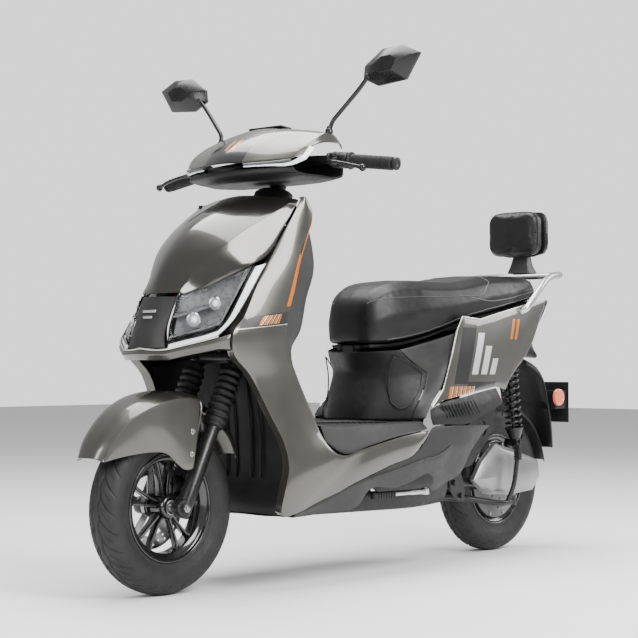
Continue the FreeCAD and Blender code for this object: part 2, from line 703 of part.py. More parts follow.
def seat_cushion():
    return loft([seat_ring(s) for s in SEAT_SECTIONS])


def seat_pan():
    """Hard base plate under the cushion, with the hinge knuckle at its nose."""
    rings = []
    for station, width, low, crest, top in SEAT_SECTIONS:
        w = width * 0.86
        rings.append([(-w, station + 4, low - 0.3), (w, station + 4, low - 0.3),
                      (w * 0.94, station + 4, low - 9), (-w * 0.94, station + 4, low - 9)])
    pan = loft(rings[1:])
    for x in (-34, 22):
        centre = Vector(x, SEAT_HINGE.y, SEAT_HINGE.z)
        knuckle = Part.makeCylinder(6, 12, centre, X_AXIS)
        tongue = Part.makeBox(12, 16, 5, Vector(x, SEAT_HINGE.y, 582))
        pan = fused(pan, knuckle, tongue).cut(Part.makeCylinder(3 + RUN_FIT, 12, centre, X_AXIS))
    return pan


# ---- steering group -----------------------------------------------------------------------
def fork_crown():
    """Steering stem, lower yoke and the two stanchions."""
    yoke_at = steering_station(556)
    top = steering_station(1000)
    stem = Part.makeCylinder(STEM_R, top - yoke_at, on_steering(0, yoke_at), STEER_UP)
    yoke = Part.makeBox(2 * LEG_X + 36, 36, 24, Vector(-LEG_X - 18, -18, -12))
    yoke.rotate(Vector(0, 0, 0), X_AXIS, -math.degrees(RAKE))
    yoke.translate(on_steering(0, yoke_at))
    race = Part.makeCylinder(19, 10, on_steering(0, yoke_at + 10), STEER_UP)
    low = steering_station(300)
    legs = [Part.makeCylinder(STANCHION_R, yoke_at - low, on_steering(s * LEG_X, low), STEER_UP)
            for s in (-1, 1)]
    return fused(stem, yoke, race, *legs)


def fork_boots():
    """Ribbed rubber boots, open inside for the sliders."""
    bottom, top = steering_station(392), steering_station(532)
    length = top - bottom
    ribs = 8
    outline = [(0, SLIDER_R + 1.5), (0, 24.0)]
    for k in range(ribs):
        z0 = 6 + k * (length - 12) / ribs
        step = (length - 12) / ribs
        outline += [(z0, 24.0), (z0 + 0.35 * step, 29.0), (z0 + 0.65 * step, 29.0)]
    outline += [(length - 6, 24.0), (length, 24.0), (length, SLIDER_R + 1.5)]
    profile = [Vector(r, 0, z) for z, r in outline]
    boot = Part.Face(Part.makePolygon(profile + profile[:1])).revolve(Vector(0, 0, 0), Z_AXIS, 360)
    boot.rotate(Vector(0, 0, 0), X_AXIS, -math.degrees(RAKE))
    boot.translate(on_steering(LEG_X, bottom))
    return both_sides(boot)


BAR_PATH = ((110, -331, 1044), (205, -321.5, 1040.7), (388, -300, 1018))


def handlebar():
    """Bent bar with its clamp on the steering stem and the mirror and lever perches."""
    bar = tube([(-x, y, z) for x, y, z in reversed(BAR_PATH)] + list(BAR_PATH), BAR_R)
    clamp_at = steering_station(990)
    socket = ring(on_steering(0, clamp_at), STEER_UP, 20, STEM_R, 44)
    neck = rod(tuple(on_steering(0, clamp_at, 16)), (0, -331, 1044), 13)
    return fused(bar, neck.cut(Part.makeCylinder(STEM_R, 90, on_steering(0, clamp_at - 45), STEER_UP)),
                 socket)


COWL_ROWS = (
    ((0, -500, 1030), (62, -490, 1029), (122, -466, 1031), (180, -434, 1036), (200, -400, 1052)),
    ((0, -480, 1056), (64, -472, 1052), (124, -447, 1052), (188, -414, 1058), (204, -388, 1068)),
    ((0, -412, 1106), (84, -405, 1098), (142, -388, 1090), (196, -372, 1086), (207, -360, 1078)),
    ((0, -352, 1131), (105, -350, 1119), (150, -345, 1112), (196, -335, 1104), (209, -330, 1082)),
    ((0, -292, 1128), (105, -290, 1119), (150, -292, 1112), (194, -292, 1102), (207, -284, 1080)),
    ((0, -256, 1106), (100, -258, 1101), (148, -264, 1094), (190, -272, 1086), (201, -272, 1070)),
)


def headset_cowl():
    return panel([across(r) for r in COWL_ROWS], Vector(0, -350, 1000))


def headset_lower():
    """Tray under the bar with a front wall, rear wall and the collar over the steering stem."""
    rows = (
        ((0, -490, 1014), (62, -481, 1014), (122, -458, 1015), (178, -428, 1016)),
        ((0, -493, 1004), (62, -484, 1004), (120, -460, 1005), (184, -424, 1006)),
        ((0, -484, 994), (62, -474, 994), (118, -446, 996), (186, -400, 1000)),
        ((0, -400, 990), (80, -396, 990), (130, -380, 990), (198, -350, 998)),
        ((0, -320, 990), (90, -318, 990), (140, -310, 990), (202, -304, 996)),
        ((0, -262, 996), (90, -262, 996), (140, -262, 998), (198, -268, 1004)),
        ((0, -250, 1050), (90, -252, 1050), (140, -256, 1048), (196, -266, 1040)),
    )
    tray = panel([across(r) for r in rows], Vector(0, -370, 1040))
    low, high = steering_station(938), steering_station(968)
    oval = []
    for k in range(16):
        angle = math.radians(22.5 * k)
        oval.append((60 * math.cos(angle), 34 * math.sin(angle)))
    collar = loft([[tuple(on_steering(x, s, f + 6)) for x, f in oval] for s in (low, high)])
    bore = Part.makeCylinder(21, 300, on_steering(0, low - 50), STEER_UP)
    mouth = Part.makeCylinder(40, 300, on_steering(0, low - 50, 12), STEER_UP)
    return Part.makeCompound([tray.cut(mouth), collar.cut([bore, tray])])


HEADSET_LIGHT_PATH = (
    ((70, -489, 1026), (70, -486, 1017)),
    ((122, -466, 1028), (122, -462, 1018)),
    ((180, -437, 1033), (181, -431, 1019)),
    ((196, -412, 1046), (202, -404, 1034)),
    ((202, -392, 1068), (210, -380, 1062)),
)


def headset_lights():
    grid = [[Vector(*a) - Vector(0, 3, 0), Vector(*b) - Vector(0, 3, 0)] for a, b in HEADSET_LIGHT_PATH]
    return both_sides(panel(grid, Vector(60, -380, 1030), 5.0))


def display():
    low = [(-58, -340, 1132.5), (58, -340, 1132.5), (54, -296, 1130.5), (-54, -296, 1130.5)]
    return loft([low, [(x * 0.96, y, z + 5) for x, y, z in low]])


def bar_point(x):
    """The bar's centre line at an x station beyond the bend."""
    t = (abs(x) - 235.0) / (388.0 - 235.0)
    return Vector(x, -318.0 + 18.0 * t, 1037.0 - 19.0 * t)


def grip_body(side, x_in, x_out):
    """A ribbed rubber grip with a flange and an end cap, bored for the bar."""
    start, end = bar_point(side * x_in), bar_point(side * x_out)
    axis = (end - start).normalize()
    length = (bar_point(side * x_out) - start).Length
    body = Part.makeCylinder(GRIP_R - 1.5, length, start, axis)
    flange = Part.makeCylinder(GRIP_R + 5, 5, start, axis)
    rings = [Part.makeCylinder(GRIP_R, 3.5, start + axis * (12 + 8 * k), axis) for k in range(14)]
    return fused(body, flange, *rings).cut(Part.makeCylinder(BAR_R + RUN_FIT, length + 40,
                                                             start - axis * 20, axis))


def grip_left():
    return grip_body(1, 262, 386)


def throttle_grip():
    return grip_body(-1, 262, 386)


def switch_pods():
    """Switch housings inboard of the grips, bar-end weights, and the lever perches."""
    shapes = []
    for side in (-1, 1):
        start, end = bar_point(side * 214), bar_point(side * 259)
        axis = (end - start).normalize()
        pod = Part.makeCylinder(20, (end - start).Length, start, axis)
        perch = rod(tuple(bar_point(side * 232)), (side * 238, -352, 1031), 8)
        pod = fused(pod, perch)
        pin_hole = Part.makeCylinder(4 + RUN_FIT, 60, Vector(side * 238, -352, 1000), Z_AXIS)
        bar_hole = Part.makeCylinder(BAR_R, 90, start - axis * 20, axis)
        pod = pod.cut([pin_hole, bar_hole])
        if side > 0:
            button_well = Part.makeCylinder(6.2, 24, Vector(236, -306.6, 1037), Vector(0, 1, 0))
            switch_slot = Part.makeBox(20, 24, 8, Vector(229, -308, 1019))
            pod = pod.cut([button_well, switch_slot])
        shapes.append(pod)
        cap_at = bar_point(side * 389.5)
        shapes.append(Part.makeCylinder(GRIP_R - 1, 9, cap_at, axis))
    return Part.makeCompound(shapes)


def brake_lever(side):
    """Forged lever with a ball end, turning on its own pin through the perch."""
    path = ((side * 238, -366, 1030), (side * 262, -378, 1026), (side * 300, -382, 1018),
            (side * 346, -374, 1006))
    blade = pipe(path, 5)
    ball = ball_end(9, Vector(side * 350, -373, 1005))
    hub = Part.makeCylinder(9, 8, Vector(side * 238, -352, 1042.5), Z_AXIS)
    pin = Part.makeCylinder(4, 40, Vector(side * 238, -352, 1010), Z_AXIS)
    link = pipe(((side * 238, -352, 1046.6), (side * 238, -370, 1046.6), (side * 238, -366, 1028)), 4)
    return fused(blade, ball, hub, pin, link)


def horn_button():
    return Part.makeCylinder(5.5, 12, Vector(236, -303.8, 1037), Vector(0, 1, 0))


def turn_switch():
    return Part.makeBox(8, 14, 5, Vector(235, -306, 1020.5))


MIRROR_BASE = Vector(187, -307, 1105)


def mirror_ball(side):
    return Vector(side * 292, -282, 1240)


def mirror_stem(side):
    """Bent stem on its round foot, ending in a ball and a cross pin."""
    base = Vector(side * MIRROR_BASE.x, MIRROR_BASE.y, MIRROR_BASE.z)
    path = ((side * 187, -307, 1112), (side * 193, -301, 1138), (side * 262, -284, 1209),
            (side * 289, -282, 1237))
    foot = Part.makeCylinder(10, 10, base + Vector(0, 0, 2), Z_AXIS)
    ball = ball_end(8, mirror_ball(side))
    pin = Part.makeCylinder(3, 18, mirror_ball(side), X_AXIS * side)
    return fused(pipe(path, 5.5), foot, ball, pin)


MIRROR_OUTLINE = ((272, 1236), (318, 1214), (405, 1221), (447, 1281), (393, 1305), (333, 1303), (276, 1267))


def mirror_outline(side, scale):
    centre_x, centre_z = 358, 1261
    return [(side * (centre_x + (x - centre_x) * scale), centre_z + (z - centre_z) * scale)
            for x, z in MIRROR_OUTLINE]


def mirror_head(side):
    """Faceted shell with the mirror glass set in its rear face."""
    front = [(x, -302, z) for x, z in mirror_outline(side, 0.42)]
    outer = [(x, -277, z) for x, z in mirror_outline(side, 1.0)]
    back = [(x, -268, z) for x, z in mirror_outline(side, 1.0)]
    shell = loft([front, outer, back])
    ball = mirror_ball(side)
    socket = Part.makeSphere(9, ball)
    glass = mirror_outline(side, 0.9)
    pocket = loft([[(x, -271, z) for x, z in glass], [(x, -266, z) for x, z in glass]])
    pane = loft([[(x, -270.8, z) for x, z in glass], [(x, -268.6, z) for x, z in glass]])
    channel = rod(ball, (side * 258, -284, 1205), 8.4)
    bore = Part.makeCylinder(3 + RUN_FIT, 18.5, ball, X_AXIS * side)
    return Part.makeCompound([shell.cut([socket, pocket, channel, bore]), pane])


# ---- fork lower, wheels -------------------------------------------------------------------
def fork_sliders():
    """Lower fork tubes with their axle lugs, and the axle with its nuts."""
    low, top = steering_station(186), steering_station(398)
    shapes = []
    for side in (-1, 1):
        leg = Part.makeCylinder(SLIDER_R, top - low, on_steering(side * LEG_X, low), STEER_UP)
        lug = Part.makeCylinder(21, 26, Vector(side * LEG_X - 13, FRONT_AXLE.y, FRONT_AXLE.z), X_AXIS)
        leg = fused(leg, lug)
        bore = Part.makeCylinder(STANCHION_R + RUN_FIT, 500,
                                 on_steering(side * LEG_X, steering_station(240)), STEER_UP)
        hole = Part.makeCylinder(AXLE_R, 60, Vector(side * LEG_X - 30, FRONT_AXLE.y, FRONT_AXLE.z), X_AXIS)
        shapes.append(leg.cut([bore, hole]))
    axle = rod((-92, FRONT_AXLE.y, FRONT_AXLE.z), (92, FRONT_AXLE.y, FRONT_AXLE.z), AXLE_R)
    for side in (-1, 1):
        nut = Part.makeCylinder(11, 8, Vector(side * (LEG_X + 18) - 4, FRONT_AXLE.y, FRONT_AXLE.z), X_AXIS)
        axle = fused(axle, nut)
    return Part.makeCompound(shapes + [axle])


# Fender rows from tip to tail: angle about the axle (0 = forward, 90 = up), crown radius,
# half width and how far the side drops.
FENDER_ROWS = (
    (27.5, 266, 46, 2),
    (36, 270, 54, 42),
    (45, 271, 60, 71),
    (54.5, 272, 66, 93),
    (66, 272, 76, 115),
    (75, 272, 84, 150),
    (84, 272, 88, 165),
    (92, 272, 90, 166),
    (100, 270, 90, 160),
    (103, 270, 60, 16),
    (110, 269, 34, 8),
    (122, 267, 33, 8),
    (138, 264, 48, 14),
    (153, 258, 40, 8),
)


def fender_row(angle, crown, half, drop):
    a = math.radians(angle)
    out = Vector(0, -math.cos(a), math.sin(a))
    mid = FRONT_AXLE + out * crown
    return across([tuple(mid), tuple(mid + Vector(half * 0.62, 0, 0) - out * 4),
                   tuple(mid + Vector(half * 0.93, 0, 0) - out * 16),
                   tuple(mid + Vector(half, 0, 0) - out * (16 + drop))])


def front_fender():
    """Fender arched over the front wheel, with deep sides bolted to the fork legs."""
    arch = panel([fender_row(*r) for r in FENDER_ROWS], FRONT_AXLE)
    bolts = [Part.makeCylinder(5, 4, Vector(90.2, y, z), X_AXIS) for y, z in ((-676, 384), (-678, 332))]
    return Part.makeCompound([arch] + bolts + [mirrored(b) for b in bolts])


def brake_caliper():
    """Caliper over the rear of the disc, with its bracket to the right fork leg."""
    block = Part.makeBox(26, 44, 70, Vector(-60, FRONT_AXLE.y + 66, 206))
    slot = Part.makeBox(6.5, 90, 90, Vector(-44.5, FRONT_AXLE.y + 36, 196))
    lug = Part.makeBox(7, 40, 16, Vector(-60, FRONT_AXLE.y + 42, 232))
    return fused(block.cut(slot), lug)


def tyre(centre):
    outline = ((-30, 131), (-33.5, 140), (-41, 156), (-TYRE_HALF, 172), (-39, 190), (-24, 202), (0, TYRE_R),
               (24, 202), (39, 190), (TYRE_HALF, 172), (41, 156), (33.5, 140), (30, 131), (26, 132),
               (33, 156), (36, 172), (30, 186), (0, 196), (-30, 186), (-36, 172), (-33, 156), (-26, 132))
    return smooth_turned(centre, outline)


def rim_barrel(centre):
    return turned(centre, (
        (-RIM_HALF, RIM_R - 8), (-RIM_HALF, 126), (-25, 124), (-18, 108), (18, 108), (25, 124),
        (RIM_HALF, 126),
        (RIM_HALF, RIM_R - 8), (28, RIM_R - 8), (27, 128.5), (22, 127.5), (14, 113), (-14, 113),
        (-22, 127.5),
        (-27, 128.5), (-28, RIM_R - 8)))


def front_rim():
    """Cast wheel: barrel, five pairs of spokes and a hub with two bearings."""
    hub = Part.makeCylinder(30, 64, FRONT_AXLE - X_AXIS * 32, X_AXIS)
    spokes = []
    for k in range(5):
        for lean in (-1, 1):
            angle = math.radians(72 * k + 90)
            out = Vector(0, math.cos(angle), math.sin(angle))
            side = Vector(0, -math.sin(angle), math.cos(angle))
            a = FRONT_AXLE + out * 22 + side * (9 * lean)
            b = FRONT_AXLE + out * 110 + side * (17 * lean)
            ring_in = [a + side * s + X_AXIS * x for s, x in ((-4, -14), (4, -14), (4, 14), (-4, 14))]
            ring_out = [b + side * s + X_AXIS * x for s, x in ((-4.5, -9), (4.5, -9), (4.5, 9), (-4.5, 9))]
            spokes.append(loft([[tuple(p) for p in ring_in], [tuple(p) for p in ring_out]]))
    wheel = fused(rim_barrel(FRONT_AXLE), hub, *spokes)
    return wheel.cut(Part.makeCylinder(AXLE_R + RUN_FIT, 80, FRONT_AXLE - X_AXIS * 40, X_AXIS))


def brake_disc():
    """Drilled disc on the right side, on a spider that bolts to the hub."""
    base = FRONT_AXLE - X_AXIS * 43.0
    disc = Part.makeCylinder(104, 3.6, base, X_AXIS).cut(Part.makeCylinder(72, 3.6, base, X_AXIS))
    holes = []
    for k in range(30):
        a = math.radians(12 * k)
        for radius in (82, 94) if k % 2 else (88,):
            holes.append(Part.makeCylinder(3.2, 3.6,
                                           base + Vector(0, math.cos(a), math.sin(a)) * radius, X_AXIS))
    arms = []
    for k in range(5):
        arm = Part.makeBox(3.6, 18, 52, Vector(0, -9, 24))
        arm.rotate(Vector(0, 0, 0), X_AXIS, 72 * k)
        arm.translate(base)
        arms.append(arm)
    boss = Part.makeCylinder(28, 11, base, X_AXIS)
    bore = Part.makeCylinder(12, 30, base - X_AXIS * 5, X_AXIS)
    return fused(disc.cut(holes), boss, *arms).cut(bore)


def hub_motor():
    """Rear rim with the motor's drum and its ribbed side plates; the axle stays with the arm."""
    drum = Part.makeCylinder(112, 56, REAR_AXLE - X_AXIS * 28, X_AXIS)
    left = Part.makeCone(104, 70, 14, REAR_AXLE + X_AXIS * 28, X_AXIS)
    right = Part.makeCone(104, 70, 14, REAR_AXLE - X_AXIS * 28, X_AXIS * -1)
    body = fused(rim_barrel(REAR_AXLE), drum, left, right)
    return body.cut(Part.makeCylinder(10 + RUN_FIT, 120, REAR_AXLE - X_AXIS * 60, X_AXIS))


# ---- rear suspension ----------------------------------------------------------------------
def swingarm():
    """Pivot tube, two arms with axle lugs, shock lugs, the hugger and the fixed rear axle."""
    pivot = rod((-100, SWING_PIVOT.y, SWING_PIVOT.z), (100, SWING_PIVOT.y, SWING_PIVOT.z), 19)
    arms = []
    for side in (-1, 1):
        arm = pipe(((side * 80, 300, 215), (side * 80, 380, 212), (side * 88, 610, 206)), 17)
        lug = Part.makeCylinder(26, 24, Vector(side * 88 - 12, REAR_AXLE.y, REAR_AXLE.z), X_AXIS)
        stalk = rod((side * 86, 590, 214), (side * 88, 581, 318), 9)
        arms += [arm, lug, stalk]
    body = fused(pivot, *arms)
    holes = [Part.makeCylinder(8 + RUN_FIT, 260, Vector(-130, SWING_PIVOT.y, SWING_PIVOT.z), X_AXIS),
             Part.makeCylinder(10, 260, Vector(-130, REAR_AXLE.y, REAR_AXLE.z), X_AXIS)]
    body = body.cut(holes)
    bolts = [rod((side * 84, SHOCK_FOOT.y, SHOCK_FOOT.z), (side * 138, SHOCK_FOOT.y, SHOCK_FOOT.z), 5)
             for side in (-1, 1)]
    axle = rod((-108, REAR_AXLE.y, REAR_AXLE.z), (108, REAR_AXLE.y, REAR_AXLE.z), 10)
    rows = []
    for degrees in (70, 50, 30, 12):
        a = math.radians(degrees)
        out = Vector(0, math.cos(a), math.sin(a))
        mid = REAR_AXLE + out * 232
        rows.append(across([tuple(mid), tuple(mid + Vector(44, 0, 0) - out * 4),
                            tuple(mid + Vector(62, 0, 0) - out * 26)]))
    hugger = panel(rows, REAR_AXLE, 3.0)
    stays = [rod((side * 60.5, 700, 330), (side * 94, 596, 240), 5) for side in (-1, 1)]
    body = body.fuse(bolts).cut(axle)
    return Part.makeCompound([body, axle, hugger] + [s.cut(body) for s in stays])


def motor_cover():
    """Faceted alloy cover over the left arm and the motor's cable side."""
    low = ((372, 218), (430, 176), (540, 166), (662, 176), (700, 214), (690, 262), (560, 300),
           (478, 318), (410, 268))
    rings = []
    for x, s in ((107, 1.0), (122, 0.98), (136, 0.78), (141, 0.5)):
        rings.append([(x, 540 + (y - 540) * s, 232 + (z - 232) * s) for y, z in low])
    cover = loft(rings)
    hollow = loft([[(x, 540 + (y - 540) * s, 232 + (z - 232) * s) for y, z in low]
                   for x, s in ((106, 0.94), (118, 0.92), (132, 0.7))])
    return cover.cut(hollow)


def shock_direction():
    return (SHOCK_TOP - SHOCK_FOOT).normalize()


def shock_bodies():
    """Upper half of each shock: eye, spring seat and damper tube."""
    shapes = []
    d = shock_direction()
    for side in (-1, 1):
        top = Vector(side * SHOCK_X, SHOCK_TOP.y, SHOCK_TOP.z)
        eye = Part.makeCylinder(13, 34, top - X_AXIS * 17, X_AXIS)
        seat = Part.makeCylinder(27, 6, top - d * 26, d)
        core = Part.makeCylinder(11, 130, top - d * 140, d)
        rod_hole = Part.makeCylinder(7, 100, top - d * 141, d)
        bolt = Part.makeCylinder(5 + RUN_FIT, 60, top - X_AXIS * 30, X_AXIS)
        shapes.append(fused(eye, seat, core).cut([rod_hole, bolt]))
    return Part.makeCompound(shapes)


def shock_rods():
    """Lower half of each shock: eye, conical cup and piston rod."""
    shapes = []
    d = shock_direction()
    for side in (-1, 1):
        foot = Vector(side * SHOCK_X, SHOCK_FOOT.y, SHOCK_FOOT.z)
        eye = Part.makeCylinder(13, 30, foot - X_AXIS * 15, X_AXIS)
        cup = Part.makeCone(15, 27, 34, foot + d * 8, d)
        piston = Part.makeCylinder(5.5, 105, foot + d * 20, d)
        bolt = Part.makeCylinder(5 + RUN_FIT, 60, foot - X_AXIS * 30, X_AXIS)
        shapes.append(fused(eye, cup, piston).cut(bolt))
    return Part.makeCompound(shapes)


def shock_springs():
    """Each spring as the sleeve its coils fill, standing between the two seats."""
    shapes = []
    d = shock_direction()
    length = (SHOCK_TOP - SHOCK_FOOT).Length - 26 - 42.5
    for side in (-1, 1):
        foot = Vector(side * SHOCK_X, SHOCK_FOOT.y, SHOCK_FOOT.z) + d * 42.2
        outer = Part.makeCylinder(25, length, foot, d)
        shapes.append(outer.cut(Part.makeCylinder(17, length, foot, d)))
    return Part.makeCompound(shapes)


# ---- stand and pegs -----------------------------------------------------------------------
def center_stand():
    """Two-legged stand folded back under the swingarm, with a tread arm on the left."""
    hub = rod((-100, STAND_PIVOT.y, STAND_PIVOT.z), (100, STAND_PIVOT.y, STAND_PIVOT.z), 12)
    parts = [hub]
    for side in (-1, 1):
        parts.append(tube(((side * 90, 330, 178), (side * 91, 368, 168), (side * 152, 460, 150),
                           (side * 152, 516, 152)), 9))
        parts.append(rod((side * 152, 516, 143), (side * 152, 516, 170), 11))
    parts.append(rod((-104, 380, 163), (104, 380, 163), 8))
    parts.append(tube(((152, 490, 152), (170, 500, 200), (174, 510, 272)), 7))
    parts.append(Part.makeBox(20, 16, 44, Vector(165, 503, 270)))
    hole = Part.makeCylinder(7 + RUN_FIT, 260, Vector(-130, STAND_PIVOT.y, STAND_PIVOT.z), X_AXIS)
    return fused(*parts).cut(hole)


def foot_peg(side):
    """Die-cast peg with a rubber tread, folded forward along the body."""
    x = side * PEG_PIVOT.x
    y = PEG_PIVOT.y
    knuckle = Part.makeCylinder(10, 16, Vector(x, y, 201), Z_AXIS)
    pin = Part.makeCylinder(4, 32, Vector(x, y, 203), Z_AXIS)
    arm = Part.makeBox(14, 128, 12, Vector(x - 7, y - 132, 203))
    tread = Part.makeBox(18, 78, 18, Vector(x - 9, y - 208, 200))
    nose = Part.makeCylinder(9, 18, Vector(x, y - 208, 200), Z_AXIS)
    return fused(knuckle, pin, arm, tread, nose)


# ---- output -------------------------------------------------------------------------------
NODES = {
    "hood": hood,
    "side_shields": lambda: both_sides(side_shield()),
    "front_lip": front_lip,
    "headlight_housing": headlight_housing,
    "headlight_lens": headlight_lens,
    "light_bars": light_bars,
    "wheel_well_liner": wheel_well_liner,
    "inner_shield": inner_shield,
    "floorboard": floorboard,
    "lower_covers": lower_covers,
    "seat_pedestal": seat_pedestal,
    "side_covers": side_covers,
    "tail_covers": tail_covers,
    "under_tail_trims": under_tail_trims,
    "tail_light": tail_light,
    "rear_mudguard": rear_mudguard,
    "grab_rail": grab_rail,
    "backrest_bracket": backrest_bracket,
    "backrest_pad": backrest_pad,
    "frame_tubes": frame_tubes,
    "bearings_and_pins": bearings_and_pins,
    "battery_pack": battery_pack,
    "controller": controller,
    "storage_bucket": storage_bucket,
    "seat_cushion": seat_cushion,
    "seat_pan": seat_pan,
    "fork_crown": fork_crown,
    "fork_boots": fork_boots,
    "handlebar": handlebar,
    "headset_cowl": headset_cowl,
    "headset_lower": headset_lower,
    "headset_lights": headset_lights,
    "display": display,
    "grip_left": grip_left,
    "throttle_grip": throttle_grip,
    "switch_pods": switch_pods,
    "brake_lever_left": lambda: brake_lever(1),
    "brake_lever_right": lambda: brake_lever(-1),
    "horn_button": horn_button,
    "turn_switch": turn_switch,
    "mirror_stem_left": lambda: mirror_stem(1),
    "mirror_stem_right": lambda: mirror_stem(-1),
    "mirror_head_left": lambda: mirror_head(1),
    "mirror_head_right": lambda: mirror_head(-1),
    "fork_sliders": fork_sliders,
    "front_fender": front_fender,
    "brake_caliper": brake_caliper,
    "front_tyre": lambda: tyre(FRONT_AXLE),
    "front_rim": front_rim,
    "brake_disc": brake_disc,
    "rear_tyre": lambda: tyre(REAR_AXLE),
    "hub_motor": hub_motor,
    "swingarm": swingarm,
    "motor_cover": motor_cover,
    "shock_bodies": shock_bodies,
    "shock_rods": shock_rods,
    "shock_springs": shock_springs,
    "center_stand": center_stand,
    "peg_left": lambda: foot_peg(1),
    "peg_right": lambda: foot_peg(-1),
}


def finish():
    os.makedirs("parts", exist_ok=True)
    for name, build in NODES.items():
        shape = build()
        shape.translate(ORIGIN_SHIFT)
        shape.exportStep("parts/" + name + ".step")


finish()
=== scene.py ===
"""Looks of the moped scooter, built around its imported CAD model.

Control points are in millimetres about the middle of the wheelbase, front towards -Y and the rider's
left towards +X. at() turns them into the frame's metres, measured from the front tyre's node.
"""
import bmesh
import bpy
import math
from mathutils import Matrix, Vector
from mathutils.bvhtree import BVHTree


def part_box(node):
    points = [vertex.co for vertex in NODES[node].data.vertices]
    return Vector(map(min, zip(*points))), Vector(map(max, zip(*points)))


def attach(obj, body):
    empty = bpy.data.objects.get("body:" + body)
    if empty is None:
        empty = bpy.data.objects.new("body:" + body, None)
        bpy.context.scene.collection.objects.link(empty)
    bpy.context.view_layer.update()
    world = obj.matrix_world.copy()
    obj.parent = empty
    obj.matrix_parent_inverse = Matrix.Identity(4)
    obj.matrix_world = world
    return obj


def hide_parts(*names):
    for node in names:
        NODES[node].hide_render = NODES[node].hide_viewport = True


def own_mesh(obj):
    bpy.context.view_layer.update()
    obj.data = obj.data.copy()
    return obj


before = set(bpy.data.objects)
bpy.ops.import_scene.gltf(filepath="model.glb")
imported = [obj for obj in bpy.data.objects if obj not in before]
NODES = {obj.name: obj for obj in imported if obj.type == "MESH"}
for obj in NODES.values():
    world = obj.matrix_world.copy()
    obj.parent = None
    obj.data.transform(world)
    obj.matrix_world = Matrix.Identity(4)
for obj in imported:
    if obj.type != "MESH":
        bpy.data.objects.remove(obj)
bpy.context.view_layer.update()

MM = 0.001
TYRE_LOW, TYRE_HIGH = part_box("front_tyre")
SHIFT_Y = (TYRE_LOW.y + TYRE_HIGH.y) / 2 + 690 * MM
FRONT_AXLE = (0, -690, 206)
REAR_AXLE = (0, 610, 206)
RAKE = math.radians(26.5)
STEER_FOOT = Vector((0, -680, 206))
STEER_UP = Vector((0, math.sin(RAKE), math.cos(RAKE)))
STEER_FWD = Vector((0, -math.cos(RAKE), math.sin(RAKE)))
SKIN = 3.0
X_AXIS = Vector((1, 0, 0))
Y_AXIS = Vector((0, 1, 0))
Z_AXIS = Vector((0, 0, 1))


# ---- shapes: every function returns (points, faces, uvs) in the frame's metres --------------
def at(p):
    return Vector((p[0] * MM, p[1] * MM + SHIFT_Y, p[2] * MM))


def flip(p):
    return (-p[0], p[1], p[2])


def across(half_row):
    return [flip(p) for p in reversed(half_row) if p[0] > 0.01] + list(half_row)


def on_steering(x, along, forward=0.0):
    return STEER_FOOT + STEER_UP * along + STEER_FWD * forward + Vector((x, 0, 0))


def steering_station(z):
    return (z - STEER_FOOT.z) / STEER_UP.z


def smooth_line(points, steps, sharp=()):
    """Points joined by a curve through all of them; its direction breaks at the sharp ones."""
    last = len(points) - 1
    slopes = []
    for i in range(last):
        run = points[i + 1] - points[i]
        slopes.append(run / max(run.length, 1e-9))

    def through(i):
        before = (points[i] - points[i - 1]).length
        after = (points[i + 1] - points[i]).length
        return (slopes[i - 1] * after + slopes[i] * before) / max(before + after, 1e-9)

    line = []
    for i in range(last):
        length = (points[i + 1] - points[i]).length
        free_start = i == 0 or i in sharp
        free_end = i + 1 == last or i + 1 in sharp
        start = slopes[i] if free_start else through(i)
        end = slopes[i] if free_end else through(i + 1)
        if free_start and not free_end:
            start = slopes[i] * 1.5 - end * 0.5
        if free_end and not free_start:
            end = slopes[i] * 1.5 - start * 0.5
        for k in range(steps):
            t = k / steps
            line.append(points[i] * (2 * t ** 3 - 3 * t ** 2 + 1) + start * length * (t ** 3 - 2 * t ** 2 + t)
                        + points[i + 1] * (3 * t ** 2 - 2 * t ** 3) + end * length * (t ** 3 - t ** 2))
    return line + [points[last]]


def surface(rows, steps=(4, 4), sharp_u=(), sharp_v=()):
    """A fine grid through rows of control points."""
    lines = [smooth_line([at(p) for p in row], steps[0], sharp_u) for row in rows]
    columns = [smooth_line(list(column), steps[1], sharp_v) for column in zip(*lines)]
    return [list(row) for row in zip(*columns)]


def grid_normals(grid):
    rows, cols = len(grid), len(grid[0])
    normals = []
    for i in range(rows):
        for j in range(cols):
            along = grid[min(i + 1, rows - 1)][j] - grid[max(i - 1, 0)][j]
            side = grid[i][min(j + 1, cols - 1)] - grid[i][max(j - 1, 0)]
            normals.append(along.cross(side).normalized())
    return normals


def shell(grid, inward, skin=SKIN, steps=(4, 4)):
    """A closed panel of even thickness; uv runs in control points across and along the grid."""
    rows, cols = len(grid), len(grid[0])
    flat = [p for row in grid for p in row]
    normals = grid_normals(grid)
    centre = (rows // 2) * cols + cols // 2
    towards = 1.0 if (at(inward) - flat[centre]).dot(normals[centre]) > 0 else -1.0
    points = flat + [p + n * (towards * skin * MM) for p, n in zip(flat, normals)]
    back = rows * cols
    faces = []
    for i in range(rows - 1):
        for j in range(cols - 1):
            a, b = i * cols + j, i * cols + j + 1
            c, d = b + cols, a + cols
            quad = (a, b, c, d) if towards > 0 else (d, c, b, a)
            faces.append(quad[::-1])
            faces.append(tuple(back + k for k in quad))
    rim = list(range(cols)) + [i * cols + cols - 1 for i in range(1, rows)]
    rim += [(rows - 1) * cols + j for j in range(cols - 2, -1, -1)]
    rim += [i * cols for i in range(rows - 2, 0, -1)]
    for a, b in zip(rim, rim[1:] + rim[:1]):
        side = (a, b, back + b, back + a)
        faces.append(side if towards > 0 else side[::-1])
    uvs = [(j / steps[0], i / steps[1]) for i in range(rows) for j in range(cols)]
    return points, faces, uvs + uvs


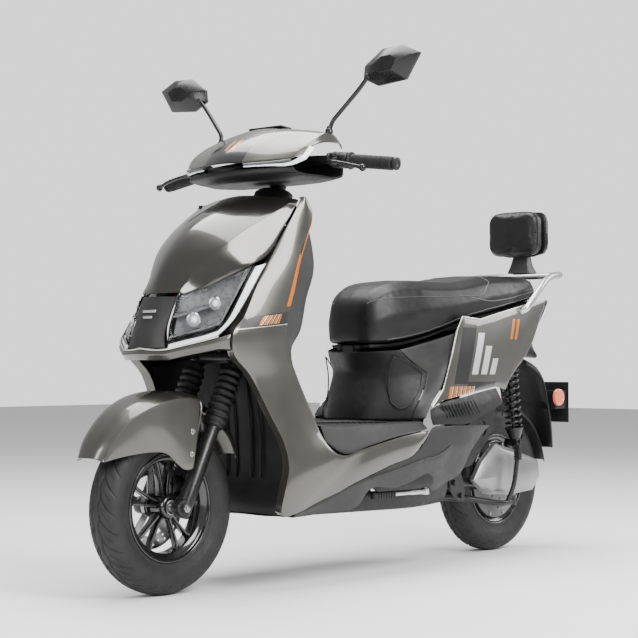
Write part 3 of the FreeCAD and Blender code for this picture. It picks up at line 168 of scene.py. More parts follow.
def panel(rows, inward, skin=SKIN, steps=(4, 4), sharp_u=(), sharp_v=()):
    return shell(surface(rows, steps, sharp_u, sharp_v), inward, skin, steps)


def loft(rings, caps=True):
    """A body through rings of points that are already in metres."""
    count = len(rings[0])
    points = [p for ring in rings for p in ring]
    faces = []
    for k in range(len(rings) - 1):
        for j in range(count):
            a, b = k * count + j, k * count + (j + 1) % count
            faces.append((a, b, b + count, a + count))
    if caps:
        faces.append(tuple(range(count))[::-1])
        faces.append(tuple((len(rings) - 1) * count + j for j in range(count)))
    return points, faces, [(0.0, 0.0)] * len(points)


def lathe(origin, axis, profile, segments=72, closed=False):
    """A turned body: profile holds (distance along the axis, radius) in millimetres."""
    axis = Vector(axis).normalized()
    side = axis.cross(Z_AXIS if abs(axis.z) < 0.9 else X_AXIS).normalized()
    other = axis.cross(side)
    base = at(origin)
    points = []
    for along, radius in profile:
        for k in range(segments):
            angle = 2 * math.pi * k / segments
            out = side * math.cos(angle) + other * math.sin(angle)
            points.append(base + axis * (along * MM) + out * (radius * MM))
    rings = [points[i * segments:(i + 1) * segments] for i in range(len(profile))]
    if closed:
        rings.append(rings[0])
    return loft(rings, caps=not closed)


def bent(path, fillet, steps=6):
    """A path in millimetres with its corners rounded, as points in metres."""
    corners = [Vector(p) for p in path]
    line = [corners[0]]
    for before, corner, after in zip(corners, corners[1:], corners[2:]):
        reach = min(fillet, (corner - before).length * 0.45, (after - corner).length * 0.45)
        start = corner + (before - corner).normalized() * reach
        end = corner + (after - corner).normalized() * reach
        for k in range(steps + 1):
            t = k / steps
            line.append(start * (1 - t) ** 2 + corner * (2 * t * (1 - t)) + end * t ** 2)
    line.append(corners[-1])
    return [at(p) for p in line]


def sweep(line, radius, sides=16, flatten=1.0):
    """A round bar along points in metres; radius is a number or one for each point, in mm."""
    radii = [radius] * len(line) if isinstance(radius, (int, float)) else radius
    heading = (line[1] - line[0]).normalized()
    side = heading.cross(Z_AXIS if abs(heading.z) < 0.9 else X_AXIS).normalized()
    rings = []
    for i, p in enumerate(line):
        ahead = line[min(i + 1, len(line) - 1)] - line[max(i - 1, 0)]
        heading = ahead.normalized()
        side = (side - heading * side.dot(heading)).normalized()
        other = heading.cross(side)
        ring = []
        for k in range(sides):
            angle = 2 * math.pi * k / sides
            ring.append(p + (side * math.cos(angle) + other * (math.sin(angle) * flatten)) * (radii[i] * MM))
        rings.append(ring)
    return loft(rings)


def bar(path, radius, fillet=20, sides=16, steps=6):
    return sweep(bent(path, fillet, steps), radius, sides)


def slab(outline, near, far):
    """A plate between two copies of an outline; near and far turn a 2-D point into 3-D."""
    return loft([[at(near(p)) for p in outline], [at(far(p)) for p in outline]])


def side_plate(outline, x0, x1, shrink=1.0):
    cy = sum(p[0] for p in outline) / len(outline)
    cz = sum(p[1] for p in outline) / len(outline)
    return slab(outline, lambda p: (x0, p[0], p[1]),
                lambda p: (x1, cy + (p[0] - cy) * shrink, cz + (p[1] - cz) * shrink))


def brick(centre, size):
    """A block to be bevelled, given by its middle and its sizes in millimetres."""
    x, y, z = centre
    a, b, c = size[0] / 2, size[1] / 2, size[2] / 2
    outline = ((y - b, z - c), (y + b, z - c), (y + b, z + c), (y - b, z + c))
    return side_plate(outline, x - a, x + a)


def mirror(geometry):
    points, faces, uvs = geometry
    return [Vector((-p.x, p.y, p.z)) for p in points], [f[::-1] for f in faces], uvs


def merge(*parts):
    points, faces, uvs = [], [], []
    for part in parts:
        base = len(points)
        points += part[0]
        faces += [tuple(base + i for i in face) for face in part[1]]
        uvs += part[2]
    return points, faces, uvs


def pair(geometry):
    return merge(geometry, mirror(geometry))


# ---- pieces --------------------------------------------------------------------------------
def settle(obj, sharp=35.0):
    """Applies the modifiers and shades smooth apart from real edges."""
    depsgraph = bpy.context.evaluated_depsgraph_get()
    mesh = bpy.data.meshes.new_from_object(obj.evaluated_get(depsgraph))
    obj.modifiers.clear()
    obj.data = mesh
    mesh.polygons.foreach_set("use_smooth", [True] * len(mesh.polygons))
    mesh.set_sharp_from_angle(angle=math.radians(sharp))
    return obj


def piece(name, geometry, body, material, replaces=(), bevel=0.0, sharp=35.0):
    points, faces, uvs = geometry
    mesh = bpy.data.meshes.new(name)
    mesh.from_pydata([tuple(p) for p in points], [], faces)
    layer = mesh.uv_layers.new(name="Panel")
    for loop in mesh.loops:
        layer.data[loop.index].uv = uvs[loop.vertex_index]
    builder = bmesh.new()
    builder.from_mesh(mesh)
    bmesh.ops.recalc_face_normals(builder, faces=builder.faces)
    builder.to_mesh(mesh)
    builder.free()
    obj = bpy.data.objects.new(name, mesh)
    bpy.context.scene.collection.objects.link(obj)
    if bevel:
        rounding = obj.modifiers.new("Rounding", "BEVEL")
        rounding.width = bevel * MM
        rounding.segments = 2
        rounding.limit_method = "ANGLE"
        rounding.angle_limit = math.radians(28)
    settle(obj, sharp)
    obj.data.materials.clear()
    obj.data.materials.append(material)
    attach(obj, body)
    if replaces:
        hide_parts(*replaces)
    return obj


# ---- materials -----------------------------------------------------------------------------
class Field:
    """A number that varies over a surface, made of math nodes."""

    def __init__(self, tree, socket):
        self.tree = tree
        self.socket = socket

    def op(self, kind, *others):
        node = self.tree.nodes.new("ShaderNodeMath")
        node.operation = kind
        for index, value in enumerate((self,) + others):
            if isinstance(value, Field):
                self.tree.links.new(value.socket, node.inputs[index])
            else:
                node.inputs[index].default_value = value
        return Field(self.tree, node.outputs[0])

    def __add__(self, other):
        return self.op("ADD", other)

    def __sub__(self, other):
        return self.op("SUBTRACT", other)

    def __mul__(self, other):
        return self.op("MULTIPLY", other)

    def between(self, low, high):
        return self.op("GREATER_THAN", low) * self.op("LESS_THAN", high)

    def either(self, other):
        return self.op("MAXIMUM", other)

    def bars(self, pitch, share):
        """1 on a share of every pitch."""
        return (self * (1 / pitch)).op("FRACT").op("LESS_THAN", share)

    def size(self):
        return self.op("ABSOLUTE")


def fields(tree):
    """x, y, z in millimetres as in the control points, and u, v in control points of the panel."""
    place = tree.nodes.new("ShaderNodeTexCoord")
    xyz = tree.nodes.new("ShaderNodeSeparateXYZ")
    tree.links.new(place.outputs["Object"], xyz.inputs[0])
    uv = tree.nodes.new("ShaderNodeSeparateXYZ")
    tree.links.new(place.outputs["UV"], uv.inputs[0])
    x, y, z = [Field(tree, socket) * (1 / MM) for socket in xyz.outputs]
    u, v = [Field(tree, socket) for socket in uv.outputs[:2]]
    return x, y - SHIFT_Y / MM, z, u, v


def noise(tree, scale, detail=3.0, kind="ShaderNodeTexNoise"):
    place = tree.nodes.new("ShaderNodeTexCoord")
    node = tree.nodes.new(kind)
    node.inputs["Scale"].default_value = scale
    if "Detail" in node.inputs:
        node.inputs["Detail"].default_value = detail
    tree.links.new(place.outputs["Object"], node.inputs["Vector"])
    return node.outputs[0]


def ramp(tree, socket, low, high):
    node = tree.nodes.new("ShaderNodeMapRange")
    node.inputs["From Min"].default_value = 0.3
    node.inputs["From Max"].default_value = 0.7
    node.inputs["To Min"].default_value = low
    node.inputs["To Max"].default_value = high
    tree.links.new(socket, node.inputs["Value"])
    return node.outputs[0]


def over(tree, colour, mask, rgb):
    """One colour laid over another where the mask is 1."""
    node = tree.nodes.new("ShaderNodeMix")
    node.data_type = "RGBA"
    tree.links.new(mask, node.inputs["Factor"])
    if isinstance(colour, tuple):
        node.inputs[6].default_value = colour + (1,)
    else:
        tree.links.new(colour, node.inputs[6])
    node.inputs[7].default_value = rgb + (1,)
    return node.outputs[2]


def surface_material(name, base, tint, rough, metal=0.0, cloud=18.0, grain=900.0, bump=0.05, coat=0.0,
                     graphics=None, kind="ShaderNodeTexNoise", depth=0.0004, **sockets):
    """Clouded colour and roughness with a fine grain; graphics lays printed shapes on top."""
    made = bpy.data.materials.new(name)
    made.use_nodes = True
    tree = made.node_tree
    shader = tree.nodes["Principled BSDF"]
    patch = ramp(tree, noise(tree, cloud), 0.0, 1.0)
    colour = over(tree, base, patch, tint)
    if graphics:
        for mask, rgb in graphics(*fields(tree)):
            colour = over(tree, colour, mask.socket, rgb)
    tree.links.new(colour, shader.inputs["Base Color"])
    tree.links.new(ramp(tree, noise(tree, cloud * 4), rough[0], rough[1]), shader.inputs["Roughness"])
    shader.inputs["Metallic"].default_value = metal
    shader.inputs["Coat Weight"].default_value = coat
    shader.inputs["Coat Roughness"].default_value = 0.05
    for socket, value in sockets.items():
        shader.inputs[socket.replace("_", " ")].default_value = value
    if bump:
        relief = tree.nodes.new("ShaderNodeBump")
        relief.inputs["Strength"].default_value = bump
        relief.inputs["Distance"].default_value = depth
        tree.links.new(noise(tree, grain, 2.0, kind), relief.inputs["Height"])
        tree.links.new(relief.outputs[0], shader.inputs["Normal"])
    return made


ORANGE = (0.82, 0.21, 0.004)
WHITE = (0.80, 0.80, 0.80)
CHARCOAL = (0.016, 0.016, 0.017)
BAND_GREY = (0.045, 0.045, 0.043)
SILVER = (0.62, 0.61, 0.57)
PAINT = (0.070, 0.0675, 0.058)
PAINT_TINT = (0.084, 0.081, 0.070)


def wing_graphics(x, y, z, u, v):
    """Edge stripe down the leg and the banded strip with slanted bars under the lamp."""
    broad = u.between(2.78, 3.0) * v.between(2.75, 4.75)
    slim = u.between(2.92, 3.0) * v.between(0.9, 2.8)
    ticks = u.between(2.74, 2.92) * v.between(2.35, 2.8) * (v + u * 0.2).bars(0.09, 0.5)
    band = u.between(1.05, 3.02) * v.between(4.98, 5.78)
    slant = u + v * 0.16
    lit = slant.bars(0.2, 0.42) * u.between(1.75, 2.62) * v.between(5.06, 5.68)
    pale = (slant + 0.085).bars(0.2, 0.2) * u.between(1.75, 2.62) * v.between(5.06, 5.68)
    rule = v.between(5.78, 5.83) * u.between(1.05, 3.02)
    return ((band, BAND_GREY), (lit, ORANGE), (pale, WHITE), (rule, SILVER),
            (broad, ORANGE), (slim, ORANGE), (ticks, CHARCOAL))


def tail_graphics(x, y, z, u, v):
    """Dark slanted block, white slanted bars, a pair of orange bars and the barred strip."""
    lean = y - (z - 450) * 0.42
    dark = lean.between(184, 250) * z.between(486, 640)
    foot = lean.between(250, 400) * z.between(470, 492)
    tall = lean.between(262, 292) * z.between(512, 626)
    middle = lean.between(308, 338) * z.between(512, 590)
    short = lean.between(354, 384) * z.between(512, 556)
    dots = lean.between(430, 444).either(lean.between(456, 470)) * z.between(610, 668)
    strip = lean.between(168, 292) * z.between(448, 480)
    lit = lean.bars(21, 0.45) * strip
    pale = (lean + 9).bars(21, 0.18) * strip
    white = tall.either(middle).either(short)
    return ((dark, CHARCOAL), (foot, CHARCOAL), (white, WHITE), (dots, ORANGE), (lit, ORANGE),
            (pale, WHITE))


def cowl_graphics(x, y, z, u, v):
    """Dark glossy band over the middle of the cowl, with two small orange bars on it."""
    band = x.size().op("LESS_THAN", 64) * v.between(-1, 1.4)
    mark = x.size().between(6, 15) * z.between(1066, 1094)
    return ((band, CHARCOAL), (mark, ORANGE))


PAINT_LOOK = dict(rough=(0.30, 0.36), metal=0.75, cloud=6, grain=2600, bump=0.10, coat=0.8, depth=0.0001)
paint = surface_material("titanium_paint", PAINT, PAINT_TINT, **PAINT_LOOK)
wing_paint = surface_material("titanium_paint_wing", PAINT, PAINT_TINT, graphics=wing_graphics,
                              **PAINT_LOOK)
tail_paint = surface_material("titanium_paint_tail", PAINT, PAINT_TINT, graphics=tail_graphics,
                              **PAINT_LOOK)
cowl_paint = surface_material("titanium_paint_cowl", PAINT, PAINT_TINT, graphics=cowl_graphics,
                              **PAINT_LOOK)
hood_paint = surface_material("hood_paint", (0.038, 0.037, 0.032), (0.046, 0.0445, 0.039), (0.20, 0.26),
                              0.75,
                              6, 2600, 0.08, 1.0, depth=0.0001)
black_plastic = surface_material("black_plastic", (0.006, 0.006, 0.0063), (0.010, 0.010, 0.0105),
                                 (0.42, 0.56),
                                 grain=1500, bump=0.22, Specular_IOR_Level=0.28)
dark_plastic = surface_material("dark_grey_plastic", (0.016, 0.016, 0.016), (0.022, 0.022, 0.0215),
                                (0.40, 0.52),
                                grain=1400, bump=0.18, Specular_IOR_Level=0.3)
grey_plastic = surface_material("mid_grey_plastic", (0.034, 0.034, 0.0335), (0.042, 0.042, 0.041),
                                (0.42, 0.52),
                                grain=1300, bump=0.2, Specular_IOR_Level=0.35)
gloss_black = surface_material("gloss_black", (0.005, 0.005, 0.0053), (0.009, 0.009, 0.0095), (0.22, 0.32),
                               grain=600, bump=0.02, Specular_IOR_Level=0.4)
frame_black = surface_material("frame_black", (0.007, 0.007, 0.007), (0.012, 0.012, 0.012), (0.26, 0.38),
                               grain=700, bump=0.08, Specular_IOR_Level=0.4)
rim_black = surface_material("rim_black", (0.010, 0.010, 0.010), (0.016, 0.016, 0.016), (0.14, 0.24),
                             metal=0.4, grain=500, bump=0.05, coat=0.7)
rubber = surface_material("moulded_rubber", (0.007, 0.007, 0.007), (0.013, 0.013, 0.013), (0.48, 0.62),
                          grain=1100, bump=0.2, Specular_IOR_Level=0.3)
tyre_rubber = surface_material("tyre_rubber", (0.009, 0.009, 0.0093), (0.017, 0.0168, 0.0164), (0.5, 0.68),
                               cloud=30, grain=800, bump=0.3, Specular_IOR_Level=0.35)
alloy = surface_material("cast_alloy", (0.56, 0.56, 0.56), (0.64, 0.64, 0.63), (0.30, 0.42), 1.0,
                         25, 900, 0.14)
dull_alloy = surface_material("satin_alloy_cover", (0.26, 0.26, 0.26), (0.31, 0.31, 0.31), (0.32, 0.42),
                              0.85,
                              10, 1200, 0.12)
steel = surface_material("turned_steel", (0.34, 0.34, 0.335), (0.27, 0.27, 0.27), (0.24, 0.38), 1.0,
                         60, 700, 0.06)
vinyl = surface_material("seat_vinyl", (0.005, 0.005, 0.0052), (0.008, 0.008, 0.0084), (0.34, 0.46),
                         cloud=14, grain=520, bump=0.35, kind="ShaderNodeTexVoronoi", depth=0.0003,
                         Specular_IOR_Level=0.32)
piping_vinyl = surface_material("seat_piping", (0.03, 0.03, 0.03), (0.04, 0.04, 0.04), (0.3, 0.4),
                                grain=900)
white_guide = surface_material("light_guide", (0.80, 0.82, 0.84), (0.92, 0.93, 0.95), (0.10, 0.2),
                               grain=400, bump=0.03, coat=0.6)
lamp_grey = surface_material("lamp_housing_grey", (0.20, 0.20, 0.205), (0.27, 0.27, 0.275), (0.22, 0.36),
                             metal=0.2, grain=500, bump=0.05)
reflector_chrome = surface_material("lamp_chrome", (0.72, 0.72, 0.73), (0.82, 0.82, 0.83), (0.05, 0.14),
                                    1.0,
                                    40, 300, 0.02)
red_lens = surface_material("red_lens", (0.42, 0.02, 0.015), (0.5, 0.03, 0.02), (0.08, 0.16), grain=220,
                            bump=0.1, coat=0.6)
amber_lens = surface_material("amber_reflector", (0.72, 0.13, 0.07), (0.80, 0.18, 0.10), (0.14, 0.25),
                              grain=420, bump=0.5, kind="ShaderNodeTexVoronoi", coat=0.6)
mirror_glass = surface_material("mirror_glass", (0.75, 0.77, 0.78), (0.8, 0.81, 0.82), (0.01, 0.03), 1.0,
                                30, 200, 0.0)
screen_glass = surface_material("display_screen", (0.006, 0.007, 0.01), (0.01, 0.012, 0.016), (0.04, 0.1),
                                grain=200, bump=0.01, coat=1.0)
clear_lens = surface_material("clear_lens", (0.90, 0.92, 0.93), (0.96, 0.97, 0.98), (0.01, 0.04), grain=120,
                              bump=0.02, Transmission_Weight=1.0, IOR=1.2)


# ---- front bodywork ------------------------------------------------------------------------
# Each row of the hood: centre line, side crease, lower edge.
HOOD_ROWS = (
    ((0, -714, 706), (62, -697, 708), (67, -690, 704)),
    ((0, -700, 742), (68, -673, 737), (90, -634, 722)),
    ((0, -676, 784), (82, -647, 773), (119, -592, 747)),
    ((0, -640, 828), (105, -610, 809), (147, -550, 772)),
    ((0, -582, 880), (130, -545, 858), (160, -502, 798)),
    ((0, -508, 924), (150, -479, 897), (169, -457, 861)),
    ((0, -430, 957), (163, -402, 941), (172, -404, 938)),
)

# The side shield from the shoulder peak down the leg and back along the floor:
# forward or lower edge, then rear or upper edge.
SHIELD_ROWS = (
    ((176, -396, 946), (180, -386, 946)),
    ((177, -422, 905), (188, -367, 903)),
    ((173, -452, 861), (194, -392, 852)),
    ((167, -490, 800), (199, -423, 790)),
    ((173, -548, 725), (204, -450, 720)),
    ((181, -602, 648), (209, -475, 664)),
    ((186, -640, 612), (211, -485, 628)),
    ((184, -640, 572), (209, -478, 574)),
    ((187, -586, 515), (207, -446, 512)),
    ((203, -535, 422), (208, -393, 424)),
    ((216, -498, 350), (214, -359, 362)),
    ((221, -488, 296), (224, -346, 338)),
    ((220, -500, 245), (228, -331, 326)),
    ((212, -505, 190), (229, -300, 318)),
    ((208, -400, 197), (229, -230, 330)),
    ((221, -251, 248), (229, -150, 344)),
    ((225, -120, 285), (228, -60, 358)),
    ((225, -5, 318), (225, 0, 364)),
    ((222, 36, 358), (222, 42, 368)),
)

LENS_TOP = ((62, -700, 701), (90, -640, 717), (119, -597, 742), (148, -554, 766))
LENS_LOW = ((67, -736, 593), (100, -713, 603), (132, -688, 612), (153, -666, 623))


def towards(a, b, share):
    return tuple(p + (q - p) * share for p, q in zip(a, b))


def lifted(p, x, y, z):
    return (p[0] + x, p[1] + y, p[2] + z)


def build_hood():
    rows = []
    for centre, crease, edge in HOOD_ROWS:
        bulge = (crease[0] * 0.55, centre[1] * 0.62 + crease[1] * 0.38, centre[2] * 0.62 + crease[2] * 0.38)
        rows.append(across((centre, bulge, crease, edge)))
    grid = panel(rows, (0, -400, 700), sharp_u=(1, 5), steps=(5, 5))
    piece("hood_panel", grid, "chassis", hood_paint, ("hood",), bevel=1.2)


def shield_rows():
    rows = []
    for row, (front, rear) in enumerate(SHIELD_ROWS):
        f, r = Vector(front), Vector(rear)
        run = (r - f).normalized()
        tuck = min(26.0, 6.0 + 5.0 * row)
        crown = f * 0.45 + r * 0.55 + Vector((5, 0, 0))
        rows.append([tuple(f + run * 6 - Vector((tuck, 0, 0))), front, tuple(crown), rear,
                     tuple(r - run * 4 - Vector((14, 0, 0)))])
    return rows


def build_side_shields():
    grid = panel(shield_rows(), (0, -480, 600), sharp_u=(1, 3), steps=(6, 5))
    piece("side_shield_left", grid, "chassis", wing_paint, ("side_shields",), bevel=1.4)
    piece("side_shield_right", mirror(grid), "chassis", wing_paint, bevel=1.4)


def lens_rows(depth, swell=4.0, shrink=0.0):
    rows = []
    for t in (0.0, 0.25, 0.5, 0.75, 1.0):
        t = shrink + t * (1 - 2 * shrink)
        row = []
        for top, low in zip(LENS_TOP, LENS_LOW):
            bow = swell * math.sin(math.pi * t)
            p = towards(top, low, t)
            row.append(lifted(p, -0.45 * depth + 0.5 * bow, 0.85 * depth - 0.85 * bow, 0.25 * depth))
        rows.append(row)
    return rows


def projector(mid, aim, radius):
    """Bezel, bowl and glass ball of one lamp module."""
    bezel = lathe(mid, aim, ((-16, radius * 0.6), (0, radius), (5, radius + 2.5), (7, radius + 1.5),
                             (5, radius - 1),
                             (-2, radius * 0.82), (-8, radius * 0.45)), 40)
    ball = lathe(mid, aim, ((-6, radius * 0.78), (0, radius * 0.74), (4, radius * 0.6), (7, radius * 0.36),
                            (8.2, radius * 0.08)), 32)
    return bezel, ball


def build_headlights():
    clear = pair(panel(lens_rows(0), (60, -560, 660), 2.5, steps=(4, 3)))
    piece("headlight_lens_clear", clear, "chassis", clear_lens, ("headlight_lens",),
          bevel=0.8)
    dish = panel(lens_rows(40, 0), (60, -500, 660), steps=(4, 3), sharp_u=(1, 2))
    fin = panel([[lifted(towards(top, low, t), -0.45 * d, 0.85 * d, 0.25 * d)
                  for top, low in zip(LENS_TOP[:3], LENS_LOW[:3])] for t, d in ((0.44, 34), (0.52, 15),
                                                                                (0.56, 34))],
                (60, -500, 660), 2.0)
    wall = panel([[lifted(towards(top, low, 0.96), -0.45 * d, 0.85 * d, 0.25 * d + 3)
                   for top, low in zip(LENS_TOP, LENS_LOW)] for d in (8, 42)], (60, -500, 560), 2.0)
    cheek = panel([[lifted(towards(LENS_TOP[3], LENS_LOW[3], t), -3 - 0.45 * d, 0.85 * d, 0.25 * d)
                    for t in (0.03, 0.5, 0.96)] for d in (8, 42)], (100, -600, 660), 2.0)
    piece("headlight_bowl", pair(merge(dish, fin, wall, cheek)), "chassis", lamp_grey,
          ("headlight_housing",), bevel=0.8)
    aim = Vector((0.35, -0.93, -0.05))
    bezels, balls = [], []
    for place, radius in (((101, -683, 643), 15), ((128, -640, 682), 13)):
        bezel, ball = projector(place, aim, radius)
        bezels.append(bezel)
        balls.append(ball)
    piece("projector_bezels", pair(merge(*bezels)), "chassis", reflector_chrome)
    piece("projector_lenses", pair(merge(*balls)), "chassis", white_guide)


NOSE_ROWS = (
    ((0, -713, 699), (57, -700, 698)),
    ((0, -733, 655), (56, -719, 655)),
    ((0, -750, 612), (55, -734, 612)),
    ((0, -758, 578), (64, -742, 578)),
)


def build_nose_plate():
    rows = [across((c, ((c[0] + e[0]) / 2, c[1] + 3, c[2]), e)) for c, e in NOSE_ROWS]
    piece("nose_plate", panel(rows, (0, -600, 640)), "chassis", dark_plastic, bevel=1.2)
    badge = []
    for z in (650, 664):
        y = -735 - (655 - z) * 0.42
        badge.append(brick((0, y, z), (44 if z > 655 else 30, 3, 6)))
    piece("nose_badge_bars", merge(*badge), "chassis", alloy, bevel=1.0)


LIGHT_BAR_PATH = (
    ((72, -742, 574), (71, -738, 586)),
    ((104, -720, 584), (103, -716, 596)),
    ((138, -694, 594), (136, -690, 606)),
    ((163, -668, 606), (158, -662, 618)),
    ((175, -636, 636), (163, -641, 638)),
    ((178, -590, 690), (163, -598, 694)),
    ((174, -548, 740), (156, -556, 745)),
    ((169, -512, 780), (152, -532, 772)),
)


def build_light_bars():
    guide = panel(LIGHT_BAR_PATH, (60, -560, 660), 5.0, steps=(3, 4), sharp_v=(3,))
    piece("light_bar_strips", pair(guide), "chassis", white_guide, ("light_bars",),
          bevel=1.6)
    trims = []
    for index, side in ((0, 1), (1, -1)):
        line = [at(lifted(pair_[index], 1.5 * side, -1.5, -1.2 * side)) for pair_ in LIGHT_BAR_PATH]
        trims.append(sweep(smooth_line(line, 4, (3,)), 1.6, 8))
    piece("light_bar_bezels", pair(merge(*trims)), "chassis", gloss_black)


LIP_ROWS = (
    ((0, -759, 574), (70, -745, 571), (104, -723, 580), (138, -697, 590), (166, -668, 601),
     (182, -644, 610)),
    ((0, -765, 564), (73, -750, 562), (106, -727, 571), (141, -700, 581), (170, -670, 592),
     (183, -650, 600)),
    ((0, -752, 550), (72, -741, 549), (106, -717, 559), (140, -690, 568), (167, -666, 575),
     (181, -646, 574)),
    ((0, -735, 552), (68, -724, 552), (100, -701, 560), (132, -676, 567), (156, -655, 573),
     (172, -636, 570)),
)


def build_front_lip():
    lip = panel([across(r) for r in LIP_ROWS], (0, -700, 600), sharp_v=(1, 2), sharp_u=(4, 6), steps=(3, 3))
    piece("front_lip_painted", lip, "chassis", paint, ("front_lip",), bevel=1.4)
    line = [at(lifted(p, 0, -1.5, 3)) for p in across(LIP_ROWS[0][:5])]
    piece("front_lip_silver_line", sweep(smooth_line(line, 5, (4,)), 2.0, 8), "chassis", alloy)


def build_liner():
    roof = panel([across(r) for r in (
        ((0, -732, 557), (64, -721, 557), (128, -672, 571), (168, -630, 574)),
        ((0, -680, 572), (64, -676, 572), (128, -640, 580), (166, -600, 584)),
        ((0, -610, 590), (64, -608, 590), (128, -590, 592), (160, -570, 592)),
    )], (0, -660, 640))
    wall = panel([across(r) for r in (
        ((0, -437, 556), (80, -437, 556), (150, -470, 550), (166, -568, 530)),
        ((0, -428, 480), (80, -428, 480), (150, -452, 476), (178, -542, 474)),
        ((0, -418, 420), (80, -418, 420), (155, -440, 420), (184, -512, 420)),
        ((0, -412, 350), (80, -412, 350), (165, -430, 350), (192, -482, 350)),
        ((0, -414, 260), (80, -414, 260), (168, -430, 260), (194, -474, 260)),
        ((0, -436, 196), (80, -436, 196), (165, -450, 196), (190, -486, 196)),
        ((0, -430, 176), (80, -430, 176), (160, -440, 176), (180, -470, 180)),
    )], (0, -300, 400))
    ribs = [bar(((s * x, -439, 545), (s * x, -430, 480), (s * x, -414, 350), (s * x, -416, 262)), 3.0,
                40, 8)
            for s in (-1, 1) for x in (26, 58)]
    piece("wheel_well_lining", merge(roof, wall, *ribs), "chassis", black_plastic,
          ("wheel_well_liner",), bevel=1.2)


INNER_ROWS = (
    ((0, -292, 890), (85, -300, 890), (146, -345, 894), (168, -385, 897)),
    ((0, -288, 850), (88, -296, 848), (148, -330, 845), (176, -402, 845)),
    ((0, -296, 777), (90, -300, 777), (150, -321, 777), (184, -430, 777)),
    ((0, -335, 700), (95, -340, 700), (160, -360, 700), (189, -462, 700)),
    ((0, -372, 623), (100, -378, 623), (172, -394, 623), (194, -488, 623)),
    ((0, -378, 571), (110, -392, 571), (192, -450, 571), (193, -488, 569)),
    ((0, -370, 490), (120, -384, 490), (194, -424, 490), (192, -450, 490)),
    ((0, -360, 425), (120, -366, 425), (195, -384, 425), (192, -402, 425)),
    ((0, -345, 399), (120, -349, 399), (197, -355, 399), (194, -372, 398)),
)

DECK_ROWS = (
    ((0, -422, 944), (85, -414, 940), (158, -400, 928)),
    ((0, -360, 918), (85, -362, 917), (162, -382, 912)),
    ((0, -296, 894), (85, -304, 894), (146, -350, 898)),
)


def build_inner_shield():
    face = panel([across(r) for r in INNER_ROWS], (0, -480, 640), sharp_u=(1, 5))
    piece("inner_leg_shield", face, "chassis", dark_plastic, ("inner_shield",), bevel=1.4)
    deck = piece("steering_deck", panel([across(r) for r in DECK_ROWS], (0, -420, 800), steps=(8, 8)),
                 "chassis", black_plastic, bevel=1.0)
    axis_foot = at(on_steering(0, 0))
    builder = bmesh.new()
    builder.from_mesh(deck.data)
    inside = [f for f in builder.faces
              if (f.calc_center_median() - axis_foot).cross(STEER_UP).length < 27 * MM]
    bmesh.ops.delete(builder, geom=inside, context="FACES")
    builder.to_mesh(deck.data)
    builder.free()
    collar = lathe(on_steering(0, steering_station(884)), STEER_UP,
                   ((0, 40), (16, 40), (26, 36), (30, 30), (26, 25.5), (0, 25.5)), 48, closed=True)
    piece("steering_collar", collar, "chassis", rubber)
    hooks = bar(((0, -293, 800), (0, -268, 800), (0, -262, 812), (0, -262, 822)), 4.5, 8, 12)
    lock = lathe((52, -299, 838), (0, 1, 0), ((-2, 17), (4, 17), (6, 15), (6, 9), (3, 8.5), (3, 1)), 32)
    piece("bag_hook", hooks, "chassis", alloy)
    piece("key_lock", lock, "chassis", steel)


FLOOR_ROWS = (
    ((0, -341, 396), (150, -345, 396), (196, -349, 391), (211, -345, 352)),
    ((0, -290, 393), (150, -290, 393), (199, -295, 387), (224, -292, 322)),
    ((0, -200, 391), (150, -200, 391), (200, -200, 389), (225, -200, 337)),
    ((0, -80, 390), (150, -80, 390), (200, -80, 390), (225, -82, 358)),
    ((0, -10, 390), (150, -10, 390), (200, 0, 391), (223, 0, 367)),
    ((0, 60, 390), (150, 60, 390), (190, 55, 391), (212, 52, 374)),
)


def build_floorboard():
    board = panel([across(r) for r in FLOOR_ROWS], (0, -150, 200), 4.0, sharp_u=(1, 5), steps=(6, 5))
    piece("footboard", board, "chassis", dark_plastic, ("floorboard",), bevel=1.6)
    ridges = []
    for k in range(12):
        y0 = -322 + 23 * k
        height = 397.2 - 0.0185 * (y0 + 341)
        for side in (-1, 1):
            wave = [at((side * x, y0 + 5.0 * math.sin(x * 0.11 + 0.6 * k), height))
                    for x in range(34, 176, 6)]
            ridges.append(sweep(wave, 2.6, 8, 0.8))
    piece("footboard_tread_ridges", merge(*ridges), "chassis", rubber)


LOWER_ROWS = (
    ((206, -452, 184), (205, -448, 180), (192, -444, 174)),
    ((213, -340, 219), (215, -338, 212), (203, -335, 180)),
    ((220, -248, 246), (223, -238, 244), (211, -228, 190)),
    ((223, -190, 264), (224, -190, 256), (215, -190, 226)),
    ((224, -100, 288), (224, -95, 271), (214, -92, 227)),
    ((224, -5, 315), (224, 15, 292), (208, 20, 226)),
    ((221, 42, 352), (222, 62, 297), (204, 62, 226)),
    ((216, 70, 374), (219, 100, 304), (199, 84, 210)),
    ((210, 140, 377), (212, 150, 322), (194, 150, 226)),
    ((203, 228, 376), (200, 226, 316), (190, 221, 248)),
    ((196, 300, 375), (190, 292, 344), (181, 282, 304)),
    ((189, 356, 372), (186, 350, 366), (180, 342, 356)),
)


